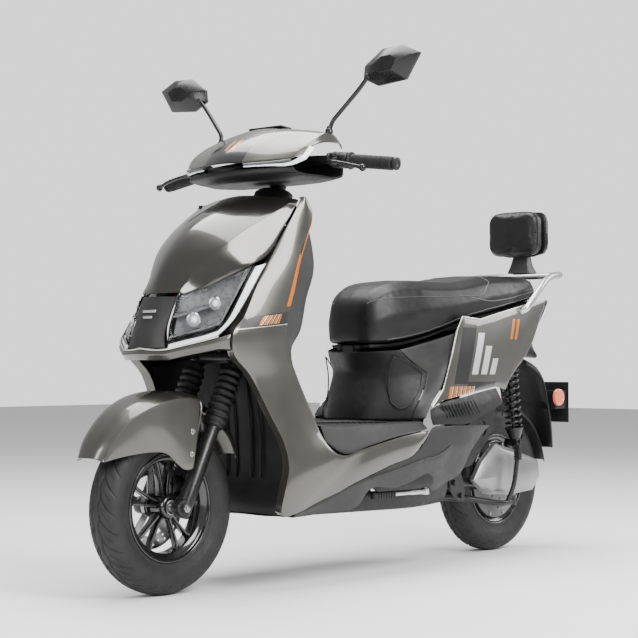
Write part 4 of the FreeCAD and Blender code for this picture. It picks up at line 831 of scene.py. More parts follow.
def build_lower_covers():
    rows = [(t, m, b, lifted(b, -30, 0, 2)) for t, m, b in LOWER_ROWS]
    side = panel(rows, (0, 0, 300), sharp_u=(1, 2), steps=(5, 4))
    brow = [at(lifted(m, 1.0, 0, 2)) for t, m, b in LOWER_ROWS[3:9]]
    ridge = sweep(smooth_line(brow, 5), 2.2, 8)
    belly = panel([across(r) for r in (
        ((0, -428, 172), (120, -428, 172), (160, -424, 176), (176, -420, 205)),
        ((0, -300, 168), (120, -300, 168), (150, -300, 172), (166, -300, 214)),
        ((0, -100, 164), (120, -100, 164), (150, -100, 168), (166, -100, 218)),
        ((0, 90, 160), (110, 90, 160), (140, 90, 164), (162, 90, 218)),
        ((0, 236, 162), (90, 236, 162), (112, 236, 166), (150, 220, 236)),
    )], (0, 0, 400))
    piece("lower_side_covers", pair(merge(side, ridge)), "chassis", dark_plastic,
          ("lower_covers",), bevel=1.4)
    piece("belly_pan", belly, "chassis", black_plastic, bevel=1.2)
    # Painted shade: a black plate laid on the outside of each lower cover where the footpeg recess falls into
    # shadow; the recess itself is not modelled.
    shadow = side_plate(((-178, 234), (-120, 250), (58, 258), (78, 246), (80, 228), (66, 219.5),
                         (-150, 219.5)),
                        206.4, 213.6, 0.96)
    piece("peg_recess_painted_shade", pair(shadow), "chassis", black_plastic, bevel=2.0)


# ---- seat base and tail --------------------------------------------------------------------
PEDESTAL_ROWS = (
    ((0, -26, 572), (60, -8, 572), (98, 14, 574), (125, 44, 577)),
    ((0, -12, 540), (60, 8, 540), (106, 38, 538), (146, 80, 540)),
    ((0, -6, 519), (60, 14, 519), (110, 48, 518), (160, 117, 517)),
    ((0, -18, 480), (60, 0, 480), (110, 36, 478), (163, 98, 474)),
    ((0, -36, 430), (60, -20, 430), (108, 20, 428), (160, 66, 424)),
    ((0, -44, 395), (60, -29, 395), (105, 12, 395), (153, 58, 395)),
)

MID_ROWS = (
    ((126, 44, 578), (150, 140, 600), (163, 236, 624)),
    ((148, 82, 541), (160, 158, 560), (170, 214, 576)),
    ((161, 117, 518), (170, 158, 520), (178, 180, 528)),
    ((165, 98, 474), (176, 130, 476), (184, 148, 480)),
    ((162, 66, 425), (178, 84, 430), (188, 102, 440)),
    ((156, 56, 399), (176, 60, 399), (194, 66, 399)),
)

# The tail cover, from its top edge down to its lower edge, front to back.
TAIL_ROWS = (
    ((165, 238, 630), (178, 196, 560), (187, 146, 470), (195, 88, 424)),
    ((164, 268, 668), (176, 238, 590), (186, 196, 500), (194, 142, 444)),
    ((164, 348, 662), (174, 318, 590), (182, 270, 510), (189, 230, 456)),
    ((156, 450, 682), (168, 420, 600), (174, 380, 530), (177, 330, 468)),
    ((146, 550, 700), (158, 508, 620), (164, 460, 540), (166, 420, 478)),
    ((134, 650, 718), (146, 600, 650), (152, 548, 570), (157, 478, 468)),
    ((122, 740, 730), (130, 690, 670), (140, 628, 592), (151, 508, 504)),
)


def build_pedestal():
    face = panel([across(r) for r in PEDESTAL_ROWS], (0, 300, 500), steps=(5, 5))
    piece("seat_pedestal_face", face, "chassis", black_plastic, ("seat_pedestal",),
          bevel=1.4)
    loop = ((118, 26, 560), (141, 74, 538), (152, 104, 516), (155, 92, 480), (152, 62, 436), (134, 34, 424),
            (112, 24, 440), (104, 22, 500), (118, 26, 560))
    line = smooth_line([at(p) for p in loop], 4, (2, 4, 6))
    piece("pedestal_recess_edges", pair(sweep(line, 1.8, 8)), "chassis", black_plastic)
    mid = panel(MID_ROWS, (0, 250, 500), steps=(4, 5), sharp_v=(2,))
    piece("mid_side_covers", pair(mid), "chassis", dark_plastic, ("side_covers",),
          bevel=1.4)


def build_tail_covers():
    rows = [[lifted(row[0], -10, 0, -14)] + list(row) for row in TAIL_ROWS]
    cover = panel(rows, (0, 450, 560), sharp_u=(1,), sharp_v=(1, 2, 3, 4, 5), steps=(4, 5))
    piece("tail_cover_left", cover, "chassis", tail_paint, ("tail_covers",), bevel=1.6)
    piece("tail_cover_right", mirror(cover), "chassis", tail_paint, bevel=1.6)
    edge = [at(lifted(p, 1.2, 4, 2)) for p in reversed(TAIL_ROWS[0])]
    edge += [at(lifted(row[0], 0.6, 0, 0.8)) for row in TAIL_ROWS[1:]]
    bead = sweep(smooth_line(edge, 5, range(1, len(edge) - 1)), 2.0, 8)
    piece("tail_cover_bright_edges", pair(bead), "chassis", alloy)


def build_under_tail():
    trim = panel((
        ((196, 86, 421), (204, 78, 402), (207, 84, 381)),
        ((193, 150, 440), (204, 150, 412), (206, 150, 381)),
        ((187, 232, 450), (196, 236, 418), (200, 232, 379)),
        ((176, 330, 464), (187, 338, 436), (192, 334, 404)),
        ((163, 424, 474), (168, 436, 452), (170, 446, 430)),
    ), (0, 250, 420), sharp_u=(1,))
    vents = [bar(((200 - 0.06 * k, 130 + 14 * k, 432 + k), (206, 150 + 14 * k, 398 + k)), 2.2, 2, 8)
             for k in range(11)]
    wedge = panel([across(r) for r in (
        ((0, 470, 500), (50, 470, 500), (78, 480, 506)),
        ((0, 590, 556), (50, 590, 556), (80, 600, 562)),
        ((0, 700, 586), (50, 700, 586), (98, 690, 598)),
        ((0, 800, 560), (40, 800, 558), (62, 748, 590)),
    )], (0, 600, 680))
    piece("under_tail_covers", pair(merge(trim, *vents)), "chassis", black_plastic,
          ("under_tail_trims",), bevel=1.0)
    piece("under_tail_wedge", wedge, "chassis", grey_plastic, bevel=1.4)


def build_tail_light():
    lamp = panel([across(r) for r in (
        ((0, 775, 722), (80, 770, 722), (118, 748, 722)),
        ((0, 770, 690), (80, 764, 690), (121, 722, 690)),
        ((0, 755, 640), (70, 742, 640), (120, 672, 640)),
        ((0, 735, 600), (60, 716, 600), (112, 640, 592)),
    )], (0, 600, 660), 4.0, steps=(5, 5))
    piece("tail_lamp_shell", lamp, "chassis", gloss_black, ("tail_light",), bevel=1.2)
    strip = panel([[(x, y + 3.2, z) for x, y, z in across(r)] for r in (
        ((0, 772, 708), (70, 766, 708)), ((0, 769, 686), (70, 763, 686)), ((0, 762, 662), (64, 755, 662)))],
        (0, 600, 660), 3.0, steps=(5, 4))
    piece("tail_lamp_red_strip", strip, "chassis", red_lens, bevel=1.4)
    side = panel(((( 121, 750, 716), (127, 730, 712)), ((123, 722, 676), (131, 700, 672)),
                  ((123, 676, 634), (133, 660, 626)), ((117, 652, 604), (132, 634, 598))),
                 (0, 600, 660), 2.5, steps=(3, 5))
    piece("tail_lamp_side_lenses", pair(side), "chassis", white_guide, bevel=0.8)
    disc = lathe((91, 838, 441), X_AXIS, ((0, 25), (5, 25), (8.4, 24), (9.4, 21), (8.0, 19.5), (8.4, 12),
                                          (8.6, 0.5)), 48)
    piece("side_reflectors", pair(disc), "chassis", amber_lens)


def build_rear_mudguard():
    guard = panel([across(r) for r in (
        ((0, 700, 560), (62, 700, 556), (84, 690, 540)),
        ((0, 790, 520), (64, 786, 516), (84, 770, 496)),
        ((0, 826, 440), (66, 822, 438), (84, 800, 420)),
        ((0, 846, 360), (66, 842, 358), (82, 816, 346)),
        ((0, 856, 290), (64, 852, 290), (78, 828, 290)),
    )], (0, 610, 206), 4.0)
    box = slab(((-90, 406), (90, 406), (90, 460), (-90, 460)), lambda p: (p[0], 828, p[1]),
               lambda p: (p[0], 889, p[1]))
    outline = ((-95, 365), (95, 365), (95, 486), (-95, 486))
    plate = slab(outline, lambda p: (p[0], 890, p[1]), lambda p: (p[0], 893, p[1]))
    rim = bar(((-91, 893, 369), (91, 893, 369), (91, 893, 482), (-91, 893, 482), (-91, 893, 369)), 1.8,
              8, 8)
    piece("rear_guard", guard, "chassis", black_plastic, ("rear_mudguard",), bevel=1.6)
    piece("plate_board", merge(box, plate, rim), "chassis", black_plastic, bevel=1.4)
    bolts = [lathe((s * 75, 892, 478), Y_AXIS, ((0, 6.4), (2.4, 6.4), (3.4, 5.2), (3.4, 2.8),
                                                (2.2, 2.6), (2.2, 0.4)), 24)
             for s in (-1, 1)]
    piece("plate_screws", merge(*bolts), "chassis", steel)


RAIL_PATH = ((127, 576, 686), (155, 582, 696), (160, 640, 752), (150, 700, 792), (136, 770, 802),
             (96, 850, 806), (0, 872, 806))


def build_grab_rail():
    path = list(RAIL_PATH) + [flip(p) for p in reversed(RAIL_PATH[:-1])]
    loop = sweep(bent(path, 42, 7), 11, 20, 0.86)
    tie = bar(((-146, 722, 797), (146, 722, 797)), 8.6, 4, 14)
    lug = side_plate(((716, 797), (794, 797), (832, 801), (832, 810), (790, 811), (716, 804)), -30, 30)
    foot = side_plate(((556, 684), (606, 684), (606, 690), (556, 690)), 118, 142)
    piece("rear_grab_rail", merge(loop, tie, lug, pair(foot)), "chassis", alloy,
          ("grab_rail",), bevel=1.6)


def ring_xz(outline, y, scale, mid_z):
    return [at((x * scale, y, mid_z + (z - mid_z) * scale)) for x, z in outline]


def build_backrest():
    post = loft([[at(p) for p in ring] for ring in (
        [(-38, 762, 811.2), (38, 762, 811.2), (38, 812, 811.2), (-38, 812, 811.2)],
        [(-30, 768, 836), (30, 768, 836), (26, 806, 836), (-26, 806, 836)],
        [(-22, 776, 870), (22, 776, 870), (22, 800, 870), (-22, 800, 870)],
        [(-20, 782, 920), (20, 782, 920), (20, 800, 920), (-20, 800, 920)])])
    outline = ((-80, 868), (-42, 860), (42, 860), (80, 868), (90, 882), (93, 900), (92, 966), (86, 984),
               (74, 992), (0, 997), (-74, 992), (-86, 984), (-92, 966), (-93, 900), (-90, 882))
    back = loft([ring_xz(outline, y, s, 927) for y, s in ((776, 0.99), (782, 1.0), (790, 0.985),
                                                          (798, 0.94), (802, 0.86))])
    piece("backrest_post", post, "chassis", grey_plastic, ("backrest_bracket",), bevel=2.5)
    piece("backrest_shell", back, "chassis", gloss_black, bevel=2.5)


# ---- padded pieces -------------------------------------------------------------------------
PUFF_FRAMES = 20
PUFF_PRESSURE = 4.0


def puffed(obj, voxel, cap):
    """Remeshes a closed form and lets cloth under pressure swell it, up to a cap in metres."""
    remesh = obj.modifiers.new("Remesh", "REMESH")
    remesh.mode = "VOXEL"
    remesh.voxel_size = voxel
    settle(obj, 180)
    rest = [v.co.copy() for v in obj.data.vertices]
    cloth = obj.modifiers.new("Cloth", "CLOTH")
    cloth.settings.use_pressure = True
    cloth.settings.uniform_pressure_force = PUFF_PRESSURE
    cloth.settings.effector_weights.gravity = 0
    cloth.settings.tension_stiffness = 20
    cloth.settings.compression_stiffness = 20
    cloth.settings.bending_stiffness = 2
    scene = bpy.context.scene
    for frame_number in range(1, PUFF_FRAMES + 1):
        scene.frame_set(frame_number)
    settle(obj, 180)
    scene.frame_set(1)
    for vertex, start in zip(obj.data.vertices, rest):
        move = vertex.co - start
        if move.length > cap:
            vertex.co = start + move.normalized() * cap
    softened = obj.modifiers.new("Soft", "SMOOTH")
    softened.iterations = 3
    softened.factor = 0.5
    finer = obj.modifiers.new("Finer", "SUBSURF")
    finer.levels = 1
    finer.render_levels = 1
    settle(obj, 180)
    return obj


# Half sections of the seat from nose to tail: station, half width, lower z, side crest z, top z.
SEAT_SECTIONS = (
    (-26, 44, 598, 650, 672),
    (-12, 78, 592, 690, 708),
    (30, 104, 593, 724, 744),
    (110, 132, 606, 738, 765),
    (230, 148, 636, 744, 768),
    (330, 152, 664, 752, 772),
    (420, 150, 680, 766, 786),
    (560, 140, 705, 778, 796),
    (690, 118, 727, 784, 797),
)
SEAT_IN = 3.0


def seat_ring(section):
    station, width, low, crest, top = section
    width, low, top, crest = width - SEAT_IN, low + 1.5, top - SEAT_IN, crest - SEAT_IN
    middle = low + 0.55 * (crest - low)
    half = [(0, station, top), (width * 0.6, station, top - 3), (width * 0.88, station, crest),
            (width, station, middle), (width * 0.97, station, low + 6), (width * 0.86, station, low)]
    return half + [(0, station, low)] + [flip(p) for p in reversed(half[1:])]


def seam(target, path, radius, lift=0.2):
    """A piping line laid on a piece's surface."""
    tree = BVHTree.FromObject(target, bpy.context.evaluated_depsgraph_get())
    line = []
    for p in smooth_line([at(q) for q in path], 10):
        spot, normal = tree.find_nearest(p)[:2]
        line.append(spot + normal * (lift * MM))
    return sweep(line, radius, 8)


def build_seat():
    rows = [seat_ring(s) for s in SEAT_SECTIONS]
    lines = list(zip(*[[at(p) for p in row] for row in rows]))
    smooth = [smooth_line(list(line), 4) for line in lines]
    body = loft([list(ring) for ring in zip(*smooth)])
    seat = piece("seat_cushion_vinyl", body, "seat", vinyl, ("seat_cushion",))
    puffed(seat, 0.006, 0.003)
    edges = []
    for side in (-1, 1):
        edges.append(seam(seat, [(side * x, y, z) for x, y, z in (
            (60, -14, 702), (100, 50, 715), (128, 120, 722), (146, 230, 728), (152, 320, 734),
            (150, 400, 742), (132, 446, 786), (96, 452, 794), (0, 452, 796))], 1.5))
        edges.append(seam(seat, [(side * x, y, z) for x, y, z in (
            (152, 320, 734), (150, 420, 716), (146, 500, 722), (138, 580, 734), (118, 680, 752))], 1.3))
        edges.append(seam(seat, [(side * x, y, z) for x, y, z in (
            (96, 30, 604), (130, 112, 616), (147, 232, 646), (151, 332, 674), (149, 422, 690),
            (139, 562, 714), (117, 688, 736))], 1.6))
    piece("seat_piping", merge(*edges), "seat", piping_vinyl)


def rounded_rings(x_half, y0, y1, z0, z1, corner, inset):
    rings = []
    mid = (z0 + z1) / 2
    for y, s in ((y0, inset), (y0 + 0.25 * (y1 - y0), 1.0), (y0 + 0.75 * (y1 - y0), 1.0),
                 (y1, inset + 0.03)):
        loop = []
        for cx, cz, first in ((1, 1, 0), (-1, 1, 90), (-1, -1, 180), (1, -1, 270)):
            for step in range(0, 91, 15):
                angle = math.radians(first + step)
                x = cx * (x_half - corner) + corner * math.cos(angle)
                z = mid + cz * ((z1 - z0) / 2 - corner) + corner * math.sin(angle)
                loop.append(at((x * s, y, mid + (z - mid) * s)))
        rings.append(loop)
    return rings


def build_backrest_pad():
    body = loft(rounded_rings(87, 729, 774, 865, 991, 30, 0.9))
    pad = piece("backrest_pad_vinyl", body, "chassis", vinyl, ("backrest_pad",))
    puffed(pad, 0.004, 0.003)
    loop = [at(p) for p in ((0, 745, 860), (62, 745, 862), (87, 745, 890), (87, 745, 965), (62, 745, 992),
                            (0, 745, 994))]
    ring = seam(pad, [((p.x) / MM, (p.y - SHIFT_Y) / MM, p.z / MM) for p in loop], 1.4)
    piece("backrest_piping", pair(ring), "chassis", piping_vinyl)


def build_seat_pan():
    rings = []
    for station, width, low, *_ in SEAT_SECTIONS[1:]:
        w = width * 0.86
        rings.append([(-w, station + 4, low - 0.6), (w, station + 4, low - 0.6),
                      (w * 0.94, station + 4, low - 9),
                      (-w * 0.94, station + 4, low - 9)])
    lines = [smooth_line([at(ring[k]) for ring in rings], 4) for k in range(4)]
    pan = loft([list(ring) for ring in zip(*lines)])
    knuckles = [lathe((x, -14, 584), X_AXIS, ((0, 3.1), (0, 6), (12, 6), (12, 3.1)), 24, closed=True)
                for x in (-34, 22)]
    tongues = [side_plate(((-13, 581.6), (2, 582.6), (2, 586.6), (-13, 589.6)), x, x + 12)
               for x in (-34, 22)]
    piece("seat_base_plate", merge(pan, *knuckles, *tongues), "seat", black_plastic,
          ("seat_pan",), bevel=0.8)


# ---- steering group ------------------------------------------------------------------------
COWL_ROWS = (
    ((0, -500, 1030), (62, -490, 1029), (122, -466, 1031), (180, -434, 1036), (200, -400, 1052)),
    ((0, -480, 1056), (64, -472, 1052), (124, -447, 1052), (188, -414, 1058), (204, -388, 1068)),
    ((0, -412, 1106), (84, -405, 1098), (142, -388, 1090), (196, -372, 1086), (207, -360, 1078)),
    ((0, -352, 1131), (105, -350, 1119), (150, -345, 1112), (196, -335, 1104), (209, -330, 1082)),
    ((0, -292, 1128), (105, -290, 1119), (150, -292, 1112), (194, -292, 1102), (207, -284, 1080)),
    ((0, -256, 1106), (100, -258, 1101), (148, -264, 1094), (190, -272, 1086), (201, -272, 1070)),
)

TRAY_ROWS = (
    ((0, -490, 1014), (62, -481, 1014), (122, -458, 1015), (178, -428, 1016)),
    ((0, -493, 1004), (62, -484, 1004), (120, -460, 1005), (184, -424, 1006)),
    ((0, -484, 994), (62, -474, 994), (118, -446, 996), (186, -400, 1000)),
    ((0, -400, 990), (80, -396, 990), (130, -380, 990), (198, -350, 998)),
    ((0, -320, 990), (90, -318, 990), (140, -310, 990), (202, -304, 996)),
    ((0, -262, 996), (90, -262, 996), (140, -262, 998), (198, -268, 1004)),
    ((0, -250, 1050), (90, -252, 1050), (140, -256, 1048), (196, -266, 1040)),
)

HEADSET_LIGHT_PATH = (
    ((70, -489, 1026), (70, -486, 1017)),
    ((122, -466, 1028), (122, -462, 1018)),
    ((180, -437, 1033), (181, -431, 1019)),
    ((196, -412, 1046), (202, -404, 1034)),
    ((202, -392, 1068), (210, -380, 1062)),
)


def build_headset():
    cowl = panel([across(r) for r in COWL_ROWS], (0, -350, 1000), sharp_u=(1, 3, 5, 7), steps=(5, 5))
    piece("headset_cowl_painted", cowl, "steering", cowl_paint, ("headset_cowl",), bevel=1.3)
    tray = panel([across(r) for r in TRAY_ROWS], (0, -370, 1040), steps=(4, 4))
    low, high = steering_station(938), steering_station(968)
    rings = []
    for s, grow in ((low, 0.93), (low + 3, 1.0), (high - 3, 1.0), (high, 0.93)):
        rings.append([at(on_steering(60 * grow * math.cos(a), s, 6 + 34 * grow * math.sin(a)))
                      for a in [2 * math.pi * k / 40 for k in range(40)]])
    piece("headset_tray", tray, "steering", black_plastic, ("headset_lower",), bevel=1.2)
    piece("steering_gaiter", loft(rings), "steering", rubber)
    edges = [(Vector(lifted(a, 0, -3, 0)), Vector(lifted(b, 0, -3, 0))) for a, b in HEADSET_LIGHT_PATH]
    shares = (0.66, 0.60, 0.42, 0.12, 0.0)
    guide = panel([[tuple(a.lerp(b, share)), tuple(b)] for (a, b), share in zip(edges, shares)],
                  (60, -380, 1030), 5.0, steps=(3, 4), sharp_v=(3,))
    glass = panel([[tuple(a), tuple(a.lerp(b, share - 0.06))] for (a, b), share in zip(edges[:3], shares)],
                  (60, -380, 1030), 3.6, steps=(3, 4))
    piece("headset_light_strips", pair(guide), "steering", white_guide, ("headset_lights",),
          bevel=1.0)
    piece("headset_lamp_glass", pair(glass), "steering", screen_glass, bevel=0.8)


def build_display():
    low = ((-58, -340, 1132.5), (58, -340, 1132.5), (54, -296, 1130.5), (-54, -296, 1130.5))
    box = loft([[at(p) for p in low], [at((x * 0.96, y, z + 5)) for x, y, z in low]])
    glass = loft([[at((x * 0.86, -318 + (y + 318) * 0.8, z + 5.05)) for x, y, z in low],
                  [at((x * 0.84, -318 + (y + 318) * 0.76, z + 5.6)) for x, y, z in low]])
    piece("display_case", box, "steering", black_plastic, ("display",), bevel=1.6)
    piece("display_glass", glass, "steering", screen_glass, bevel=0.2)


BAR_PATH = ((110, -331, 1044), (205, -321.5, 1040.7), (388, -300, 1018))


def bar_point(x):
    """The bar's centre line beyond its bend."""
    share = (abs(x) - 235.0) / (388.0 - 235.0)
    return Vector((x, -318.0 + 18.0 * share, 1037.0 - 19.0 * share))


def bar_axis(side):
    return (bar_point(side * 388) - bar_point(side * 235)).normalized()


def build_handlebar():
    path = [flip(p) for p in reversed(BAR_PATH)] + list(BAR_PATH)
    clamp = steering_station(990)
    tube = sweep(bent(path, 36, 8), 11, 24)
    socket = lathe(on_steering(0, clamp - 22), STEER_UP,
                   ((0, 13.2), (0, 19), (2, 20), (42, 20), (44, 19), (44, 13.2)),
                   40, closed=True)
    neck = bar((tuple(on_steering(0, clamp, 16)), (0, -331, 1044)), 12.5, 4, 20)
    piece("handlebar_tube", merge(tube, socket, neck), "steering", frame_black,
          ("handlebar",))


def build_grip(side, body, name, node):
    axis = bar_axis(side)
    profile = [(0, 11.3), (0, 19.5), (1.5, 21.4), (4, 21.4), (5.5, 19), (7, 15.4)]
    for k in range(28):
        start = 11 + 4 * k
        profile += [(start, 15.2), (start + 0.8, 16.5), (start + 2.6, 16.5), (start + 3.3, 15.2)]
    profile += [(124, 15.4), (125, 14.6), (125, 11.3)]
    piece(name, lathe(bar_point(side * 262), axis, profile, 40, closed=True), body, rubber,
          (node,),
          sharp=50)


def build_switch_pods():
    shapes = []
    for side in (-1, 1):
        start = bar_point(side * 214)
        axis = bar_axis(side)
        shapes.append(lathe(start, axis, ((0, 11.2), (0, 18), (2, 20), (20, 20), (21, 19.4), (22, 20),
                                          (43, 20),
                                          (45.3, 18), (45.3, 11.2)), 40, closed=True))
        shapes.append(bar((tuple(bar_point(side * 232) - Vector((0, 12, 0))), (side * 238, -352, 1031)),
                          7.6, 4))
        shapes.append(lathe((side * 238, -352, 1022), Z_AXIS, ((0, 4.2), (0, 8.4), (1.5, 9.6), (16, 9.6),
                                                              (17.5, 8.4), (17.5, 4.2)), 28, closed=True))
        cap = bar_point(side * 389.5)
        shapes.append(lathe(cap, axis, ((0, 4), (0, 14.4), (1.2, 15.5), (7, 15.5), (8.6, 13), (9, 8),
                                        (8.4, 7),
                                        (8.4, 1)), 36))
    piece("switch_housings", merge(*shapes), "steering", black_plastic, ("switch_pods",))


def build_lever(side, body, name, node):
    blade = smooth_line([at(p) for p in ((side * 238, -366, 1030), (side * 262, -378, 1026),
                                         (side * 300, -382, 1018), (side * 346, -374, 1006))], 8)
    radii = [5.6 - 1.6 * math.sin(math.pi * k / (len(blade) - 1)) ** 0.5 for k in range(len(blade))]
    end = at((side * 350, -373, 1005))
    way = (end - blade[-2]).normalized()
    ball = lathe((end.x / MM, (end.y - SHIFT_Y) / MM, end.z / MM), way,
                 [(-9 * math.cos(a), max(0.3, 9 * math.sin(a)))
                  for a in [math.pi * k / 14 for k in range(15)]], 28)
    hub = lathe((side * 238, -352, 1042.5), Z_AXIS, ((0, 0.5), (0, 8), (1, 9), (7, 9), (8, 8), (8, 5),
                                                     (9.5, 4.4),
                                                     (9.5, 0.5)), 28)
    link = bar(((side * 238, -352, 1046.5), (side * 238, -371, 1046.5), (side * 238, -366.5, 1030)),
               4.6, 7, 14)
    piece(name, merge(sweep(blade, radii, 14), ball, hub, link), body, gloss_black, (node,))


def build_buttons():
    horn = lathe((236, -303.8, 1037), Y_AXIS, ((0, 0.5), (0, 5.4), (9, 5.4), (11.6, 4.8), (11.9, 3.6),
                                               (11.2, 2.8),
                                               (11.2, 0.3)), 28)
    piece("horn_push", horn, "horn", dark_plastic, ("horn_button",))
    slider = merge(brick((239, -299, 1023), (7.6, 14, 4.6)),
                   *[brick((237 + 2 * k, -291.6, 1023), (0.9, 1.4, 4.4)) for k in range(3)])
    piece("indicator_slider", slider, "indicator", grey_plastic, ("turn_switch",),
          bevel=0.3)


def build_mirror_stem(side, body, name, node):
    path = ((side * 187, -307, 1108), (side * 188, -306, 1118), (side * 193, -301, 1138),
            (side * 262, -284, 1209),
            (side * 289, -282, 1237))
    foot = lathe((side * 187, -307, 1107), Z_AXIS, ((0, 0.5), (0, 9), (1, 10), (9, 10), (11, 8.6),
                                                    (13, 6.6),
                                                    (18, 5.6)), 28)
    ball = lathe((side * 292, -282, 1240), X_AXIS,
                 [(-8 * math.cos(a), max(0.3, 8 * math.sin(a)))
                  for a in [math.pi * k / 12 for k in range(13)]], 24)
    piece(name, merge(bar(path, 5.4, 26, 16, 8), foot, ball), body, gloss_black, (node,))


MIRROR_OUTLINE = ((272, 1236), (318, 1214), (405, 1221), (447, 1281), (393, 1305), (333, 1303), (276, 1267))


def build_mirror_head(side, body, name, node):
    cx, cz = 358, 1261

    def ring(scale, y):
        loop = [at((side * (cx + (x - cx) * scale), y, cz + (z - cz) * scale)) for x, z in MIRROR_OUTLINE]
        return loop if side > 0 else loop[::-1]

    shape = loft([ring(0.42, -302), ring(1.0, -277), ring(1.0, -269), ring(0.93, -268), ring(0.92, -270.5)])
    piece(name, shape, body, gloss_black, (node,), bevel=1.4)
    pane = loft([ring(0.91, -270.4), ring(0.905, -269.2), ring(0.89, -268.9)])
    piece(name + "_glass", pane, body, mirror_glass, sharp=20)


# ---- fork and wheels -----------------------------------------------------------------------
LEG_X = 65


def build_fork():
    yoke = steering_station(556)
    top = steering_station(1000)
    stem = lathe(on_steering(0, yoke), STEER_UP, ((0, 12.9), (top - yoke - 2, 12.9), (top - yoke, 11.5),
                                                  (top - yoke, 1)), 32)
    arms = bar((tuple(on_steering(-LEG_X, yoke)), tuple(on_steering(0, yoke)),
                tuple(on_steering(LEG_X, yoke))),
               15, 4, 20)
    clamps = [lathe(on_steering(s * LEG_X, yoke - 16), STEER_UP,
                    ((0, 14.2), (0, 19), (2, 21), (30, 21), (32, 19), (32, 14.2)), 32, closed=True)
              for s in (-1, 1)]
    low = steering_station(300)
    legs = [lathe(on_steering(s * LEG_X, low), STEER_UP, ((0, 1), (0, 13), (1, 14), (yoke - low, 14)), 32)
            for s in (-1, 1)]
    race = lathe(on_steering(0, yoke + 10), STEER_UP,
                 ((0, 13), (0, 18), (2, 19), (9, 19), (10, 18), (10, 13)), 32,
                 closed=True)
    piece("fork_yoke_and_stem", merge(stem, arms, race, *clamps, *legs), "steering", frame_black,
          ("fork_crown",))


def build_boots():
    bottom, top = steering_station(392), steering_station(532)
    length = top - bottom
    ribs = 8
    step = (length - 16) / ribs
    outline = [Vector((0, 22.4, 0)), Vector((1.5, 24.4, 0)), Vector((7, 24.4, 0))]
    for k in range(ribs):
        start = 8 + k * step
        outline += [Vector((start, 23.4, 0)), Vector((start + 0.30 * step, 28.2, 0)),
                    Vector((start + 0.52 * step, 28.8, 0)), Vector((start + 0.80 * step, 25.0, 0))]
    outline += [Vector((length - 7, 23.8, 0)), Vector((length, 23.8, 0))]
    profile = [(p.x, p.y) for p in smooth_line(outline, 3)]
    profile += [(length, 21.4), (0, 21.4)]
    for side, tag in ((1, "left"), (-1, "right")):
        boot = piece("fork_boot_" + tag, lathe(on_steering(side * LEG_X, bottom), STEER_UP, profile, 48,
                                               closed=True),
                     "steering", rubber, ("fork_boots",), sharp=60)
        tuple(at(on_steering(side * LEG_X, top)))
        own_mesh(boot)


def build_sliders():
    low, top = steering_station(186), steering_station(398)
    shapes = []
    for side in (-1, 1):
        base = on_steering(side * LEG_X, low)
        length = top - low
        shapes.append(lathe(base, STEER_UP, ((0, 2), (0, 16), (3, 19), (30, 19.4), (length - 60, 19.4),
                                             (length - 56, 18.4), (length - 8, 18.4), (length - 7, 20.6),
                                             (length - 1, 20.6), (length, 19.4), (length, 14.3),
                                             (length - 60, 14.3), (length - 60, 2)), 48))
        shapes.append(lathe((side * LEG_X - 13, -690, 206), X_AXIS,
                            ((0, 7), (0, 20), (1.5, 21), (24.5, 21), (26, 20),
                                                                   (26, 7)), 40, closed=True))
        shapes.append(bar((tuple(on_steering(side * LEG_X, low + 70, -8)),
                           tuple(on_steering(side * LEG_X, low + 26, -17)),
                           (side * LEG_X, -676, 206)), 7.5, 8))
    piece("fork_lower_legs", merge(*shapes), "fork_lower", frame_black, ("fork_sliders",))
    hexagon = [(math.cos(math.radians(60 * k)) * 10.6, math.sin(math.radians(60 * k)) * 10.6)
               for k in range(6)]
    nuts = [side_plate([(-690 + a, 206 + b) for a, b in hexagon], x, x + 8) for x in (79, -87)]
    axle = lathe((-91, -690, 206), X_AXIS, ((0, 1), (0, 5), (1, 6), (181, 6), (182, 5), (182, 1)), 24)
    piece("front_axle_and_nuts", merge(axle, *nuts), "fork_lower", steel, bevel=0.6)


FENDER_ROWS = (
    (27.5, 266, 46, 2),
    (36, 270, 54, 42),
    (45, 271, 60, 71),
    (54.5, 272, 66, 93),
    (66, 272, 76, 115),
    (75, 272, 84, 150),
    (84, 272, 88, 165),
    (92, 272, 90, 166),
    (100, 270, 90, 160),
    (103, 270, 60, 16),
    (110, 269, 34, 8),
    (122, 267, 33, 8),
    (138, 264, 48, 14),
    (153, 258, 40, 8),
)


def fender_row(angle, crown, half, drop):
    a = math.radians(angle)
    out = Vector((0, -math.cos(a), math.sin(a)))
    mid = Vector(FRONT_AXLE) + out * crown
    x = Vector((half, 0, 0))
    return across([tuple(mid), tuple(mid + x * 0.62 - out * 4), tuple(mid + x * 0.93 - out * 16),
                   tuple(mid + x - out * (16 + drop * 0.5)), tuple(mid + x - out * (16 + drop))])


def build_front_fender():
    front = panel([fender_row(*r) for r in FENDER_ROWS[:9]], FRONT_AXLE, sharp_u=(2, 6), steps=(5, 5))
    neck = panel([fender_row(*r) for r in FENDER_ROWS[8:]], FRONT_AXLE, steps=(4, 5), sharp_v=(1,))
    piece("front_fender_arch", merge(front, neck), "fork_lower", paint, ("front_fender",),
          bevel=1.3)
    bolts = [lathe((90, y, z), X_AXIS, ((-1, 7.4), (0.6, 7.4), (1.4, 5.2), (3.4, 5.0), (4.0, 4.2),
                                        (4.0, 2.4),
                                        (2.4, 2.2), (2.4, 0.3)), 24) for y, z in ((-676, 384), (-678, 332))]
    piece("fender_bolts", pair(merge(*bolts)), "fork_lower", steel)


TREAD_SEGMENTS = 600
TREAD_DEPTH = 4.0
SIPES = 26


def groove(distance, half_width):
    """1 in the middle of a groove, falling to 0 at its edges."""
    return max(0.0, 1.0 - (abs(distance) / half_width) ** 2)


